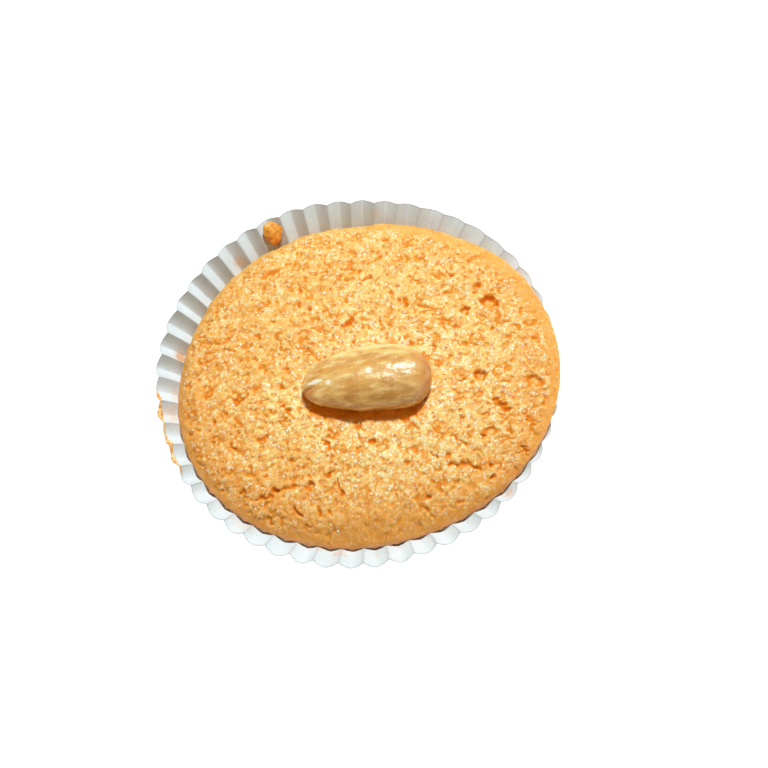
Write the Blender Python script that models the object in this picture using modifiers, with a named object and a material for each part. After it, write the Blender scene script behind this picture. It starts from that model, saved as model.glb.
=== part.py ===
"""An almond cookie baked in its fluted paper case, with one blanched almond on top.

Run it with blender --background --python part.py, or from Blender's text editor.
Units are metres and +Z is up. The flat base of the case stands on Z = 0, centred on the
origin. The almond lies along X with its tip towards -X. The cookie has spread over the
rim on the +X side.
"""

import math

import bmesh
import bpy
import numpy as np
from mathutils import Vector, noise

MM = 0.001
GAP = 0.3 * MM  # between pieces that rest on each other

# Paper case: a flat round base and a fluted wall that opens like a bowl.
BASE_RADIUS = 26.7 * MM
WALL_SLANT = 16.3 * MM
FOOT_LEAN = math.radians(15)  # from upright, where the wall leaves the base
RIM_LEAN = math.radians(58)  # from upright, at the rim
PAPER = 0.4 * MM  # stiff enough for a solid; the real paper is a quarter of this
FLUTES = 50
FLUTE_COLUMNS = 4
FLUTE_ROWS = 4
FLUTE_DEPTH = 0.75 * MM  # at the rim
FOOT_FLUTE_DEPTH = 0.15 * MM
FLUTE_ROUNDNESS = 0.6  # 1 is a round scallop, 0 a plain V fold
UNEVEN_WIDTH = 0.06  # how much one flute may differ from the next
UNEVEN_DEPTH = 0.15
FLUTE_SEED = 3
FIRST_FLUTE = math.radians(-2)  # so that the dough bead lies in a flute

# Cookie: an oval, off the middle of the case, domed and baked up over the rim at +X.
COOKIE_X, COOKIE_Y = 2.2 * MM, -0.25 * MM
COOKIE_HALF_LENGTH = 34.7 * MM
COOKIE_HALF_WIDTH = 31.7 * MM
COOKIE_TOP = 18.5 * MM
EDGE_RISE = 1.8 * MM  # of the cookie's widest line over the place where the paper ends it
DOME_SPREAD = 2.5  # higher is flatter across the middle
DOME_SHOULDER = 2.0
SIDE_SHARE = 0.54  # of the way from the widest line to the middle of the underside
SIDE_BEND = 1.2
TOP_SHARE = 0.72  # of the ball's faces, so that the crust has the finer ones

# Swells of an outline: (direction in degrees, half-width in degrees, outward push).
CASE_SWELLS = (
    (30, 24, 0.7 * MM),
    (80, 20, -0.75 * MM),
    (186, 14, -0.3 * MM),
    (283, 14, -0.3 * MM),
)
COOKIE_SWELLS = (
    (12, 16, -0.4 * MM),
    (48, 28, -0.9 * MM),
    (84, 12, -0.45 * MM),
    (160, 24, -0.55 * MM),
    (216, 36, 1.35 * MM),
    (280, 18, -0.35 * MM),
)

# Almond, lying on the crust: tip at -X, round end at +X.
ALMOND_LENGTH = 23.0 * MM
ALMOND_HALF_WIDTH = 6.3 * MM
ALMOND_ABOVE = 4.1 * MM
ALMOND_BELOW = 3.1 * MM
WIDEST_FAR, WIDEST_NEAR = 0.54, 0.74  # on its two sides, as shares of the length
BLUNT_FAR, BLUNT_NEAR = 2.0, 2.6  # how square each side meets the tip
BLUNT_END = 2.5
THICKNESS_TAPER = 0.8  # the ends thin out a little less than they narrow
ALMOND_X, ALMOND_Y = 1.8 * MM, -3.9 * MM
ALMOND_SUNK = 1.5 * MM
ALMOND_TURN = math.radians(-3)
TIP_SLIT_DEPTH = 0.7 * MM
TIP_SLIT_REACH = 0.13  # of the length
TIP_SLIT_SIDES = (0.9, 0.2)  # shares of the half-width where the slit begins and is full

# Dough bead stuck to the inside of the paper, behind and to the left.
BEAD_DIRECTION = math.radians(109.7)
BEAD_SLANT = 13.9 * MM  # along the wall, from the base
BEAD_SIZE = (3.3 * MM, 3.7 * MM, 2.2 * MM)  # across, along the wall, out from it
BEAD_INSET = 1.7 * MM
BEAD_BUMPS = 0.06

# Relief of the crust. Each pit is (x, y, length, width, turn in degrees, depth) in mm.
PITS = (
    (26.0, 9.0, 3.0, 2.5, -35, 1.5),
    (22.0, -5.5, 2.6, 1.8, -40, 1.1),
    (21.0, 7.5, 1.6, 1.4, 0, 0.8),
    (24.5, 12.0, 1.3, 0.9, 10, 0.7),
    (20.0, 15.0, 1.2, 1.0, 0, 0.7),
    (21.5, 19.5, 1.1, 0.8, -40, 0.6),
    (19.0, 4.5, 1.2, 1.0, 0, 0.7),
    (1.0, -15.0, 1.4, 1.2, 0, 0.9),
    (-11.0, -20.5, 1.6, 1.3, 0, 0.8),
    (-7.5, 17.5, 1.4, 0.9, 60, 0.6),
    (-8.0, 14.0, 1.2, 0.9, 0, 0.6),
    (-14.5, 17.5, 1.3, 1.0, 0, 0.6),
    (-4.0, 9.0, 2.2, 2.0, 0, 0.5),
    (-27.0, 7.0, 1.8, 1.3, 60, 0.6),
    (9.0, -26.0, 1.2, 1.0, 0, 0.7),
    (31.5, -8.0, 3.4, 1.6, -30, 1.0),
)
PIT_FLOOR = 0.35  # share of a pit's half-width over which it is at its deepest

# Each crack is (x, y, length, turn in degrees, width, depth) in mm.
CRACKS = (
    (0.0, 8.5, 2.4, 20, 0.9, 0.9),
    (25.0, -11.5, 3.6, -60, 0.9, 1.0),
    (16.0, -21.5, 6.0, -15, 0.8, 0.9),
    (27.5, 4.0, 2.6, 0, 0.6, 0.6),
    (16.0, -16.5, 4.0, -55, 0.6, 0.7),
    (25.5, -15.5, 2.2, -90, 0.6, 0.6),
    (-15.5, -20.0, 4.8, 0, 0.7, 0.8),
    (-18.0, -10.5, 2.2, 10, 0.6, 0.6),
    (-19.5, -20.5, 2.4, -35, 0.6, 0.6),
    (-7.0, -14.0, 2.0, -70, 0.6, 0.7),
    (-6.0, -21.5, 2.6, -80, 0.7, 0.8),
    (-13.0, -6.5, 2.2, -65, 0.6, 0.7),
    (-22.0, -2.0, 2.1, -60, 0.7, 0.8),
    (-20.5, -2.5, 2.0, 40, 0.7, 0.8),
    (-23.5, -11.0, 1.6, -45, 0.6, 0.6),
    (-14.0, -24.5, 1.8, 20, 0.6, 0.6),
    (-10.5, -25.0, 2.1, -80, 0.6, 0.6),
)
CRACK_BOW = 0.12
SMALL_PORES = 70
SMALL_PORE_RADII = (0.5 * MM, 0.85 * MM)
SMALL_PORE_DEPTHS = (0.35 * MM, 0.6 * MM)
PORE_SEED = 11
LUMP_HEIGHT = 0.35 * MM
LUMP_SIZES = (6.0 * MM, 2.8 * MM)
RELIEF_FADE = (1.35, 0.9)  # climbs where the relief has faded out and where it is full
CRUST_TRIANGLES = 7600


def smooth_step(low, high, value):
    """0 below low, 1 above high and an even slope between."""
    t = np.clip((value - low) / (high - low), 0, 1)
    return t * t * (3 - 2 * t)


def swelling(direction, swells):
    """The outward push of all the swells of an outline, in one direction."""
    total = np.zeros_like(direction)
    for centre, half_width, push in swells:
        off = (direction - math.radians(centre) + math.pi) % math.tau - math.pi
        total = total + push * np.exp(-((off / math.radians(half_width)) ** 2))
    return total


# The wall's section is one arc. Its centre lies outside the case and below the base.
ARC = WALL_SLANT / (RIM_LEAN - FOOT_LEAN)
ARC_CENTRE = BASE_RADIUS + ARC * math.cos(FOOT_LEAN)
ARC_HEIGHT = -ARC * math.sin(FOOT_LEAN)
RIM_RADIUS = ARC_CENTRE - ARC * math.cos(RIM_LEAN)


def wall_radius(height, inset=0.0):
    """Radius of the wall at a height, or of a surface that lies inset inside it."""
    return ARC_CENTRE - np.sqrt((ARC + inset) ** 2 - (height - ARC_HEIGHT) ** 2)


def wall_height(radius, inset=0.0):
    """Height of the wall, or of a surface inset inside it, at a radius."""
    return ARC_HEIGHT + np.sqrt((ARC + inset) ** 2 - (ARC_CENTRE - radius) ** 2)


def wall_place(slant, inset=0.0):
    """Radius and height of a point by its way up the wall from the base."""
    lean = FOOT_LEAN + slant / ARC
    reach = ARC + inset
    return ARC_CENTRE - reach * np.cos(lean), ARC_HEIGHT + reach * np.sin(lean)


def almond_half_width(along, far):
    """Half-width of the almond's far or near side at a share of its length from the tip."""
    widest = np.where(far, WIDEST_FAR, WIDEST_NEAR)
    blunt = np.where(far, BLUNT_FAR, BLUNT_NEAR)
    tip_side = np.clip((widest - along) / widest, 0, 1)
    end_side = np.clip((along - widest) / (1 - widest), 0, 1)
    narrowing = (1 - tip_side**2) ** (1 / blunt) * np.sqrt(1 - end_side**BLUNT_END)
    return ALMOND_HALF_WIDTH * narrowing


def almond_centre_height():
    """Height of the almond's widest level."""
    return COOKIE_TOP - ALMOND_SUNK + ALMOND_BELOW


def under_almond(x, y):
    """Height of the almond's lower side over each place, and infinity beside it."""
    dx, dy = x - ALMOND_X, y - ALMOND_Y
    c, s = math.cos(ALMOND_TURN), math.sin(ALMOND_TURN)
    along = (c * dx + s * dy) / (ALMOND_LENGTH + 2 * GAP) + 0.5
    across = -s * dx + c * dy
    half = almond_half_width(np.clip(along, 0, 1), across > 0) + GAP
    share = 1 - (across / half) ** 2
    inside = (along > 0) & (along < 1) & (share > 0)
    depth = ALMOND_BELOW * (half / (ALMOND_HALF_WIDTH + GAP)) ** THICKNESS_TAPER
    low = almond_centre_height() - depth * np.sqrt(np.clip(share, 0, 1))
    return np.where(inside, low, np.inf)


def cookie_edge(direction):
    """Outline radius about the cookie's own middle."""
    c = np.cos(direction) / COOKIE_HALF_LENGTH
    s = np.sin(direction) / COOKIE_HALF_WIDTH
    return 1 / np.hypot(c, s) + swelling(direction, COOKIE_SWELLS)


def edge_heights(direction):
    """Height of the cookie's widest line, and of the line where it meets the paper."""
    edge = cookie_edge(direction)
    x = COOKIE_X + edge * np.cos(direction)
    y = COOKIE_Y + edge * np.sin(direction)
    seat = wall_height(np.minimum(np.hypot(x, y), RIM_RADIUS))
    return seat + EDGE_RISE, seat + PAPER + GAP


def dome_point(direction, climb):
    """A point of the smooth dome. climb is 0 at the top and a quarter turn at the edge."""
    widest, _ = edge_heights(direction)
    out = cookie_edge(direction) * np.sin(climb) ** (2 / DOME_SPREAD)
    height = widest + (COOKIE_TOP - widest) * np.cos(climb) ** (2 / DOME_SHOULDER)
    x = COOKIE_X + out * np.cos(direction)
    y = COOKIE_Y + out * np.sin(direction)
    return np.stack([x, y, height], axis=-1)


def dome_at(x, y):
    """The point of the smooth dome over a place given in metres."""
    dx, dy = x - COOKIE_X, y - COOKIE_Y
    direction = np.arctan2(dy, dx)
    share = np.clip(np.hypot(dx, dy) / cookie_edge(direction), 0, 1)
    return dome_point(direction, np.arcsin(share ** (DOME_SPREAD / 2)))


def underside_point(direction, drop):
    """A point under the edge. drop is 0 at the widest line, 1 in the middle below."""
    widest, contact = edge_heights(direction)
    bottom = PAPER + GAP
    side = np.clip(drop / SIDE_SHARE, 0, 1) ** SIDE_BEND
    height = widest + (bottom - widest) * side
    # What the paper leaves free, measured from the cookie's middle.
    inset = PAPER + GAP + FLUTE_DEPTH / 2
    dents = np.minimum(swelling(direction, CASE_SWELLS), 0)
    free = wall_radius(np.minimum(height, contact), inset) + dents
    off = COOKIE_X * np.cos(direction) + COOKIE_Y * np.sin(direction)
    middle = COOKIE_X**2 + COOKIE_Y**2
    free = np.sqrt(off**2 - middle + free**2) - off
    # From the widest line the edge curls in to the paper.
    edge = cookie_edge(direction)
    curl = np.clip((widest - height) / (widest - contact), 0, 1)
    out = free + np.maximum(edge - free, 0) * np.sqrt(1 - curl**2)
    out = np.minimum(out, edge)
    inward = np.clip((1 - drop) / (1 - SIDE_SHARE), 0, 1)
    out = np.where(drop > SIDE_SHARE, out * np.sqrt(inward), out)
    x = COOKIE_X + out * np.cos(direction)
    y = COOKIE_Y + out * np.sin(direction)
    return np.stack([x, y, height], axis=-1)


def lumps(points):
    """Soft rise and fall of the crust, in large lumps with smaller ones on them."""
    total = np.zeros(len(points))
    for size in LUMP_SIZES:
        height = LUMP_HEIGHT * size / LUMP_SIZES[0]
        total += height * np.array([noise.noise(Vector(p) / size) for p in points])
    return total


def bowl(distance):
    """Depth share of a pit at a distance of 0 from its middle to 1 at its lip."""
    return smooth_step(1.0, PIT_FLOOR, distance)


def sunk_by_pits(points):
    """How far the large pits and cracks of the crust lie below the dome."""
    depth = np.zeros(len(points))
    for x, y, length, width, turn, deep in PITS:
        offset = points - dome_at(x * MM, y * MM)
        c, s = math.cos(math.radians(turn)), math.sin(math.radians(turn))
        along = (c * offset[:, 0] + s * offset[:, 1]) / (length * MM / 2)
        across = (-s * offset[:, 0] + c * offset[:, 1]) / (width * MM / 2)
        up = offset[:, 2] / (length * MM)
        distance = np.sqrt(along**2 + across**2 + up**2)
        depth = np.maximum(depth, deep * MM * bowl(distance))
    for x, y, length, turn, width, deep in CRACKS:
        offset = points - dome_at(x * MM, y * MM)
        c, s = math.cos(math.radians(turn)), math.sin(math.radians(turn))
        along = c * offset[:, 0] + s * offset[:, 1]
        bow = CRACK_BOW * along**2 / (length * MM)
        across = -s * offset[:, 0] + c * offset[:, 1] + bow
        past = np.maximum(np.abs(along) - (length - width) * MM / 2, 0)
        distance = np.hypot(across, past) / (width * MM / 2)
        depth = np.maximum(depth, deep * MM * bowl(distance))
    return depth


def sunk_by_pores(points):
    """Depth of the small round pores, scattered evenly over the top by a seeded draw."""
    chance = np.random.default_rng(PORE_SEED)
    depth = np.zeros(len(points))
    for _ in range(SMALL_PORES):
        direction = chance.uniform(0, math.tau)
        share = math.sqrt(chance.uniform(0, 0.97))
        radius = chance.uniform(*SMALL_PORE_RADII)
        deep = chance.uniform(*SMALL_PORE_DEPTHS)
        climb = np.arcsin(share ** (DOME_SPREAD / 2))
        centre = dome_point(np.array(direction), climb)
        distance = np.linalg.norm(points - centre, axis=1) / radius
        depth = np.maximum(depth, deep * bowl(distance))
    return depth


def material(name, colour, roughness):
    made = bpy.data.materials.new(name)
    made.use_nodes = True
    shader = made.node_tree.nodes["Principled BSDF"]
    shader.inputs["Base Color"].default_value = (*colour, 1)
    shader.inputs["Roughness"].default_value = roughness
    made.diffuse_color = (*colour, 1)
    return made


def new_object(name, mesh, finish, collection):
    """An object for a bmesh, with its material, in the cookie's collection."""
    data = bpy.data.meshes.new(name)
    mesh.to_mesh(data)
    mesh.free()
    data.materials.append(finish)
    made = bpy.data.objects.new(name, data)
    collection.objects.link(made)
    return made


def ball(subdivisions):
    """A unit icosphere as a bmesh, with its vertices as an array."""
    mesh = bmesh.new()
    bmesh.ops.create_icosphere(mesh, subdivisions=subdivisions, radius=1)
    return mesh, np.array([v.co for v in mesh.verts])


def place_vertices(mesh, points):
    for vertex, point in zip(mesh.verts, points):
        vertex.co = point
    mesh.normal_update()


def flute_starts():
    """Directions where the flutes begin, and the depth share of each. None are alike."""
    chance = np.random.default_rng(FLUTE_SEED)
    widths = 1 + UNEVEN_WIDTH * chance.uniform(-1, 1, FLUTES)
    depths = 1 + UNEVEN_DEPTH * chance.uniform(-1, 1, FLUTES)
    ends = np.cumsum(widths) * math.tau / widths.sum()
    return FIRST_FLUTE + np.concatenate([[0], ends]), depths


def case_vertex(column, row):
    """A point of the outside of the paper. Rows run up the wall, columns round it."""
    starts, depths = flute_starts()
    flute, step = divmod(column, FLUTE_COLUMNS)
    share = step / FLUTE_COLUMNS
    direction = starts[flute] + share * (starts[flute + 1] - starts[flute])
    up = row / FLUTE_ROWS
    radius, height = wall_place(up * WALL_SLANT)
    radius = radius + up * swelling(np.array(direction), CASE_SWELLS)
    round_fold = math.sin(math.pi * share)
    sharp_fold = 1 - abs(2 * share - 1)
    fold = FLUTE_ROUNDNESS * round_fold + (1 - FLUTE_ROUNDNESS) * sharp_fold
    depth = FOOT_FLUTE_DEPTH + (FLUTE_DEPTH - FOOT_FLUTE_DEPTH) * up
    radius = radius + depth * depths[flute] * (fold - 0.5)
    return radius * math.cos(direction), radius * math.sin(direction), height


def make_paper_case(finish, collection):
    """The base circle is drawn up, ring by ring, into the fluted wall."""
    mesh = bmesh.new()
    columns = FLUTES * FLUTE_COLUMNS
    bmesh.ops.create_circle(mesh, cap_ends=True, segments=columns, radius=BASE_RADIUS)
    number = mesh.verts.layers.int.new("column")
    for vertex in mesh.verts:
        direction = math.atan2(vertex.co.y, vertex.co.x) % math.tau
        vertex[number] = round(direction / math.tau * columns) % columns
        vertex.co = case_vertex(vertex[number], 0)
    ring_edges = list(mesh.edges)
    for row in range(1, FLUTE_ROWS + 1):
        made = bmesh.ops.extrude_edge_only(mesh, edges=ring_edges)["geom"]
        ring = {item for item in made if isinstance(item, bmesh.types.BMVert)}
        for vertex in ring:
            vertex.co = case_vertex(vertex[number], row)
        edges = [item for item in made if isinstance(item, bmesh.types.BMEdge)]
        ring_edges = [edge for edge in edges if set(edge.verts) <= ring]
    bmesh.ops.recalc_face_normals(mesh, faces=mesh.faces)
    mesh.faces.ensure_lookup_table()
    base = max(mesh.faces, key=lambda face: len(face.verts))
    if base.normal.z > 0:
        bmesh.ops.reverse_faces(mesh, faces=mesh.faces)
    case = new_object("paper_case", mesh, finish, collection)
    shell = case.modifiers.new("paper thickness", "SOLIDIFY")
    shell.thickness = PAPER
    shell.offset = -1
    return case


def climb_at(share):
    """The climb at which a share of the dome's area lies above, counted from the top."""
    steps = np.linspace(0, math.pi / 2, 200)
    flat = np.sin(steps) ** (2 / DOME_SPREAD)
    rise = COOKIE_TOP / COOKIE_HALF_LENGTH / 2 * np.cos(steps)
    strip = np.hypot(np.diff(flat), np.diff(rise)) * (flat[1:] + flat[:-1])
    grown = np.concatenate([[0], np.cumsum(strip)]) / strip.sum()
    return np.interp(share, grown, steps)


def make_cookie(finish, collection):
    """A ball whose top becomes the dome and whose rest becomes the hidden underside."""
    mesh, unit = ball(subdivisions=6)
    direction = np.arctan2(unit[:, 1], unit[:, 0])
    area = (1 - unit[:, 2]) / 2
    climb = climb_at(area / TOP_SHARE)
    drop = np.clip((area - TOP_SHARE) / (1 - TOP_SHARE), 0, 1)
    on_top = area <= TOP_SHARE
    above = dome_point(direction, climb)
    below = underside_point(direction, drop)
    place_vertices(mesh, np.where(on_top[:, None], above, below))
    points = np.array([v.co for v in mesh.verts])
    outward = np.array([v.normal for v in mesh.verts])
    # The relief fades out where the edge turns under.
    fade = smooth_step(*RELIEF_FADE, np.where(on_top, climb, math.pi))
    sunk = np.maximum(sunk_by_pits(points), sunk_by_pores(points)) - lumps(points)
    points = points - outward * (sunk * fade)[:, None]
    # The almond is pressed into the crust and keeps a hair of room.
    roof = under_almond(points[:, 0], points[:, 1]) - GAP
    points[:, 2] = np.where(on_top, np.minimum(points[:, 2], roof), points[:, 2])
    place_vertices(mesh, points)
    cookie = new_object("cookie", mesh, finish, collection)
    thin = cookie.modifiers.new("fewer faces where it is smooth", "DECIMATE")
    thin.ratio = CRUST_TRIANGLES / len(cookie.data.polygons)
    cookie.data.shade_smooth()
    return cookie


def make_almond(finish, collection):
    """A ball drawn out between a slit tip and a round end, flatter below."""
    mesh, unit = ball(subdivisions=4)
    along = (unit[:, 0] + 1) / 2
    round_way = np.maximum(np.hypot(unit[:, 1], unit[:, 2]), 1e-9)
    sideways = unit[:, 1] / round_way
    half = almond_half_width(along, sideways > 0)
    above = unit[:, 2] > 0
    thick = np.where(above, ALMOND_ABOVE, ALMOND_BELOW)
    thick = thick * (half / ALMOND_HALF_WIDTH) ** THICKNESS_TAPER
    up = thick * unit[:, 2] / round_way
    # The seam between the two halves opens at the tip.
    slit = smooth_step(TIP_SLIT_REACH, 0, along)
    slit = slit * smooth_step(*TIP_SLIT_SIDES, np.abs(sideways))
    up = up - TIP_SLIT_DEPTH * slit * above
    x = (along - 0.5) * ALMOND_LENGTH
    place_vertices(mesh, np.stack([x, half * sideways, up], axis=-1))
    almond = new_object("almond", mesh, finish, collection)
    almond.location = (ALMOND_X, ALMOND_Y, almond_centre_height())
    almond.rotation_euler = (0, 0, ALMOND_TURN)
    almond.data.shade_smooth()
    return almond


def make_dough_bead(finish, collection):
    """A crumb of dough that baked onto the inside of the paper."""
    mesh, unit = ball(subdivisions=3)
    size = np.array(BEAD_SIZE) / 2
    bumps = 1 + BEAD_BUMPS * np.sin(5 * unit[:, 0] + 1) * np.cos(4 * unit[:, 1])
    place_vertices(mesh, unit * size * bumps[:, None])
    bead = new_object("dough_bead", mesh, finish, collection)
    radius, height = wall_place(BEAD_SLANT, BEAD_INSET)
    lean = FOOT_LEAN + BEAD_SLANT / ARC
    bead.location = (
        radius * math.cos(BEAD_DIRECTION),
        radius * math.sin(BEAD_DIRECTION),
        height,
    )
    # Its second axis climbs the wall: it is level when the wall lies flat.
    bead.rotation_euler = (math.pi / 2 - lean, 0, BEAD_DIRECTION - math.pi / 2)
    bead.data.shade_smooth()
    return bead


def main():
    for old in list(bpy.data.objects):
        bpy.data.objects.remove(old, do_unlink=True)
    collection = bpy.data.collections.new("almond_cookie")
    bpy.context.scene.collection.children.link(collection)
    paper = material("white baking paper", (0.86, 0.87, 0.85), 0.6)
    crust = material("golden sugared crust", (0.82, 0.48, 0.17), 0.62)
    kernel = material("blanched almond", (0.74, 0.50, 0.24), 0.35)
    dough = material("browned dough", (0.78, 0.36, 0.07), 0.5)
    make_paper_case(paper, collection)
    make_cookie(crust, collection)
    make_almond(kernel, collection)
    make_dough_bead(dough, collection)


main()
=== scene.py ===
# %% [markdown]
# # An almond cookie in its paper case
# The cookie is a low dome of almond dough, baked in a fluted paper case with one blanched
# almond pressed into the top. This lesson dresses the plain solids of the part: they give
# the places and the sizes, and each step below makes one visible piece around them.
# All lengths are in metres, so `MM` turns millimetres into metres.

# %% Load the solids
import math

import bmesh
import bpy
import numpy as np
from mathutils import Matrix, Quaternion, Vector, noise


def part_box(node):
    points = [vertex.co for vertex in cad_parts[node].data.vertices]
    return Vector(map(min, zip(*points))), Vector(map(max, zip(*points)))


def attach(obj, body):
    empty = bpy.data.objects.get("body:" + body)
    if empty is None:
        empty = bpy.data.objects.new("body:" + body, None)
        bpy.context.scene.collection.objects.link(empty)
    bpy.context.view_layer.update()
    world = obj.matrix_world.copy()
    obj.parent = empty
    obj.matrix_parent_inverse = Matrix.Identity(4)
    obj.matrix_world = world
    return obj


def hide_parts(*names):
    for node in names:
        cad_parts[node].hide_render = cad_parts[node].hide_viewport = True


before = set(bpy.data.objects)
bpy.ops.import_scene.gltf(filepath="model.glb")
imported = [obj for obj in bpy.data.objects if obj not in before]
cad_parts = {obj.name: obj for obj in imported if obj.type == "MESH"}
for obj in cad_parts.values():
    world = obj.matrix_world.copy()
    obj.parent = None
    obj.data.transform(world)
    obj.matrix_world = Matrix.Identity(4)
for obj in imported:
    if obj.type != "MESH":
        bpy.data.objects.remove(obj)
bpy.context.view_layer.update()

MM = 0.001
print("solids:", sorted(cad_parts))

# %% [markdown]
# ## The camera
# The photograph looks down on the cookie from the front at a steep angle, and it was held a
# little askew, so the camera has a roll as well. A long lens from 60 cm away keeps the
# outline as flat as it is in the photograph. The camera stands where it sees the cookie
# best and then turns to the point that belongs in the middle of the picture.

# %% Place the camera
LOOK_DOWN = math.radians(66)
ROLL = math.radians(8.6)
CAMERA_REACH = 0.6
CAMERA_TARGET = Vector((0, 0, 12.56 * MM))
AIM_RIGHT, AIM_DOWN = 4.93, 1.13  # mm from the target to the picture's middle
PIXELS, PIXEL = 768, 0.18  # the number across the picture, and the size of one in mm
SENSOR = 36


def place_camera():
    back = Vector((0, -math.cos(LOOK_DOWN), math.sin(LOOK_DOWN)))
    upright = (-back).to_track_quat("-Z", "Y")
    rolled = upright @ Quaternion((0, 0, 1), -ROLL)
    # The cookie sits left of the picture's middle and a little above it.
    right, up = rolled @ Vector((1, 0, 0)), rolled @ Vector((0, 1, 0))
    middle = CAMERA_TARGET + right * AIM_RIGHT * MM - up * AIM_DOWN * MM
    where = CAMERA_TARGET + back * CAMERA_REACH
    turned = (middle - where).to_track_quat("-Z", "Y") @ Quaternion((0, 0, 1), -ROLL)
    lens = bpy.data.cameras.new("camera")
    lens.sensor_width = SENSOR
    lens.lens = SENSOR * CAMERA_REACH / (PIXELS * PIXEL * MM)
    lens.clip_start, lens.clip_end = 0.01, 10
    camera = bpy.data.objects.new("camera", lens)
    camera.location = where
    camera.rotation_mode = "QUATERNION"
    camera.rotation_quaternion = turned
    bpy.context.scene.collection.objects.link(camera)
    bpy.context.scene.camera = camera
    return camera


camera = place_camera()
print("lens in mm:", round(camera.data.lens, 1))

# %% [markdown]
# ## The light and the table
# The photograph has one strong light, far off to the right and behind the cookie: the almond
# throws its shadow to the front, and the back walls of the pits are dark. The rest comes
# softly from all round, and a weak, very wide light from the camera's side keeps the near
# slope from going dull. The table is a white light table, a studio's usual way to keep the
# floor pale under a small thing, so its surface glows a little as well as reflecting.


# %% Colour helper
def colour(red, green, blue):
    """A colour as a picture file gives it, from 0 to 255, made linear for the shaders."""
    parts = [c / 255 for c in (red, green, blue)]
    linear = [c / 12.92 if c <= 0.04045 else ((c + 0.055) / 1.055) ** 2.4 for c in parts]
    return (*linear, 1)


print("mid grey is", round(colour(128, 128, 128)[0], 3), "linear")


# %% The table
def lay_table():
    bpy.ops.mesh.primitive_plane_add(size=4)
    table = bpy.context.object
    table.name = "table"
    finish = bpy.data.materials.new("white light table")
    finish.use_nodes = True
    shader = finish.node_tree.nodes["Principled BSDF"]
    shader.inputs["Base Color"].default_value = colour(225, 225, 225)
    shader.inputs["Roughness"].default_value = 0.7
    shader.inputs["Emission Color"].default_value = (1, 1, 1, 1)
    shader.inputs["Emission Strength"].default_value = 0.75
    table.data.materials.append(finish)
    return table


print("laid:", lay_table().name)

# %% The lights
KEY_AROUND = math.radians(62)  # from +X towards +Y
KEY_UP = math.radians(64)
KEY_TOWARDS = (
    math.cos(KEY_UP) * math.cos(KEY_AROUND),
    math.cos(KEY_UP) * math.sin(KEY_AROUND),
    math.sin(KEY_UP),
)
FILL_TOWARDS = (-0.2, -0.7, 0.7)


def hang_light(name, towards, strength, width, tint):
    """A light as far off as the sun. The more degrees wide it is, the softer its shadows."""
    lamp = bpy.data.lights.new(name, "SUN")
    lamp.energy, lamp.angle, lamp.color = strength, math.radians(width), tint
    hung = bpy.data.objects.new(name, lamp)
    hung.rotation_mode = "QUATERNION"
    hung.rotation_quaternion = Vector(towards).to_track_quat("Z", "Y")
    bpy.context.scene.collection.objects.link(hung)


hang_light("key light", KEY_TOWARDS, 2.95, 8, (0.91, 1.0, 1.08))
hang_light("fill light", FILL_TOWARDS, 0.32, 120, (0.92, 1.0, 1.02))

# %% The room and the tone
TONE = ((0.06, 0.052), (0.2, 0.185), (0.45, 0.45), (0.7, 0.735), (0.9, 0.94))  # level, shown


def furnish_room():
    room = bpy.data.worlds.new("soft room")
    room.use_nodes = True
    sky = room.node_tree.nodes["Background"]
    sky.inputs["Color"].default_value = (1.0, 0.81, 0.57, 1)
    sky.inputs["Strength"].default_value = 0.2
    bpy.context.scene.world = room


def set_tone():
    """The camera that took the photograph deepens the shades, so the picture does too."""
    view = bpy.context.scene.view_settings
    view.view_transform = "Standard"
    view.look = "None"
    view.use_curve_mapping = True
    for level, shown in TONE:
        view.curve_mapping.curves[3].points.new(level, shown)
    view.curve_mapping.update()


furnish_room()
set_tone()
print("room:", bpy.context.scene.world.name)

# %% [markdown]
# ## The shape of the case and of the cookie
# Every piece below has to agree with its neighbours, so the shapes come first, as plain
# functions. The wall of the case is a single arc in section, seen all round. The cookie is
# an oval dome, and a few gentle swells make its outline as uneven as a hand-filled one.

# %% The wall of the case
BASE_RADIUS = 26.7 * MM
WALL_SLANT = 16.3 * MM
FOOT_LEAN, RIM_LEAN = math.radians(15), math.radians(58)
ARC = WALL_SLANT / (RIM_LEAN - FOOT_LEAN)
ARC_CENTRE = BASE_RADIUS + ARC * math.cos(FOOT_LEAN)
ARC_HEIGHT = -ARC * math.sin(FOOT_LEAN)
RIM_RADIUS = ARC_CENTRE - ARC * math.cos(RIM_LEAN)
CASE_SWELLS = ((30, 24, 0.7), (80, 20, -0.75), (186, 14, -0.3), (283, 14, -0.3))


def smooth_step(low, high, value):
    """0 below low, 1 above high and an even slope between."""
    t = np.clip((value - low) / (high - low), 0, 1)
    return t * t * (3 - 2 * t)


def bell(value, reach):
    """1 at 0, falling off softly to both sides."""
    return np.exp(-((value / reach) ** 2))


def hump(direction, centre, half_width):
    """A bell about a direction. Both are given in degrees."""
    off = (direction - math.radians(centre) + math.pi) % math.tau - math.pi
    return bell(off, math.radians(half_width))


def swelling(direction, swells):
    """Outward push in metres of swells given as (degrees, half-width in degrees, mm)."""
    total = np.zeros_like(direction)
    for centre, half_width, push in swells:
        total = total + push * MM * hump(direction, centre, half_width)
    return total


def wall_place(slant, inset=0.0):
    """Radius and height of a point by its way up the wall from the base."""
    lean = FOOT_LEAN + slant / ARC
    return ARC_CENTRE - (ARC + inset) * np.cos(lean), ARC_HEIGHT + (ARC + inset) * np.sin(lean)


def wall_radius(height, inset=0.0):
    """Radius of the wall at a height, or of a surface that lies inset inside it."""
    return ARC_CENTRE - np.sqrt((ARC + inset) ** 2 - (height - ARC_HEIGHT) ** 2)


def wall_height(radius):
    return ARC_HEIGHT + np.sqrt(ARC**2 - (ARC_CENTRE - radius) ** 2)


print("rim radius in mm:", round(RIM_RADIUS / MM, 2))

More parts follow.
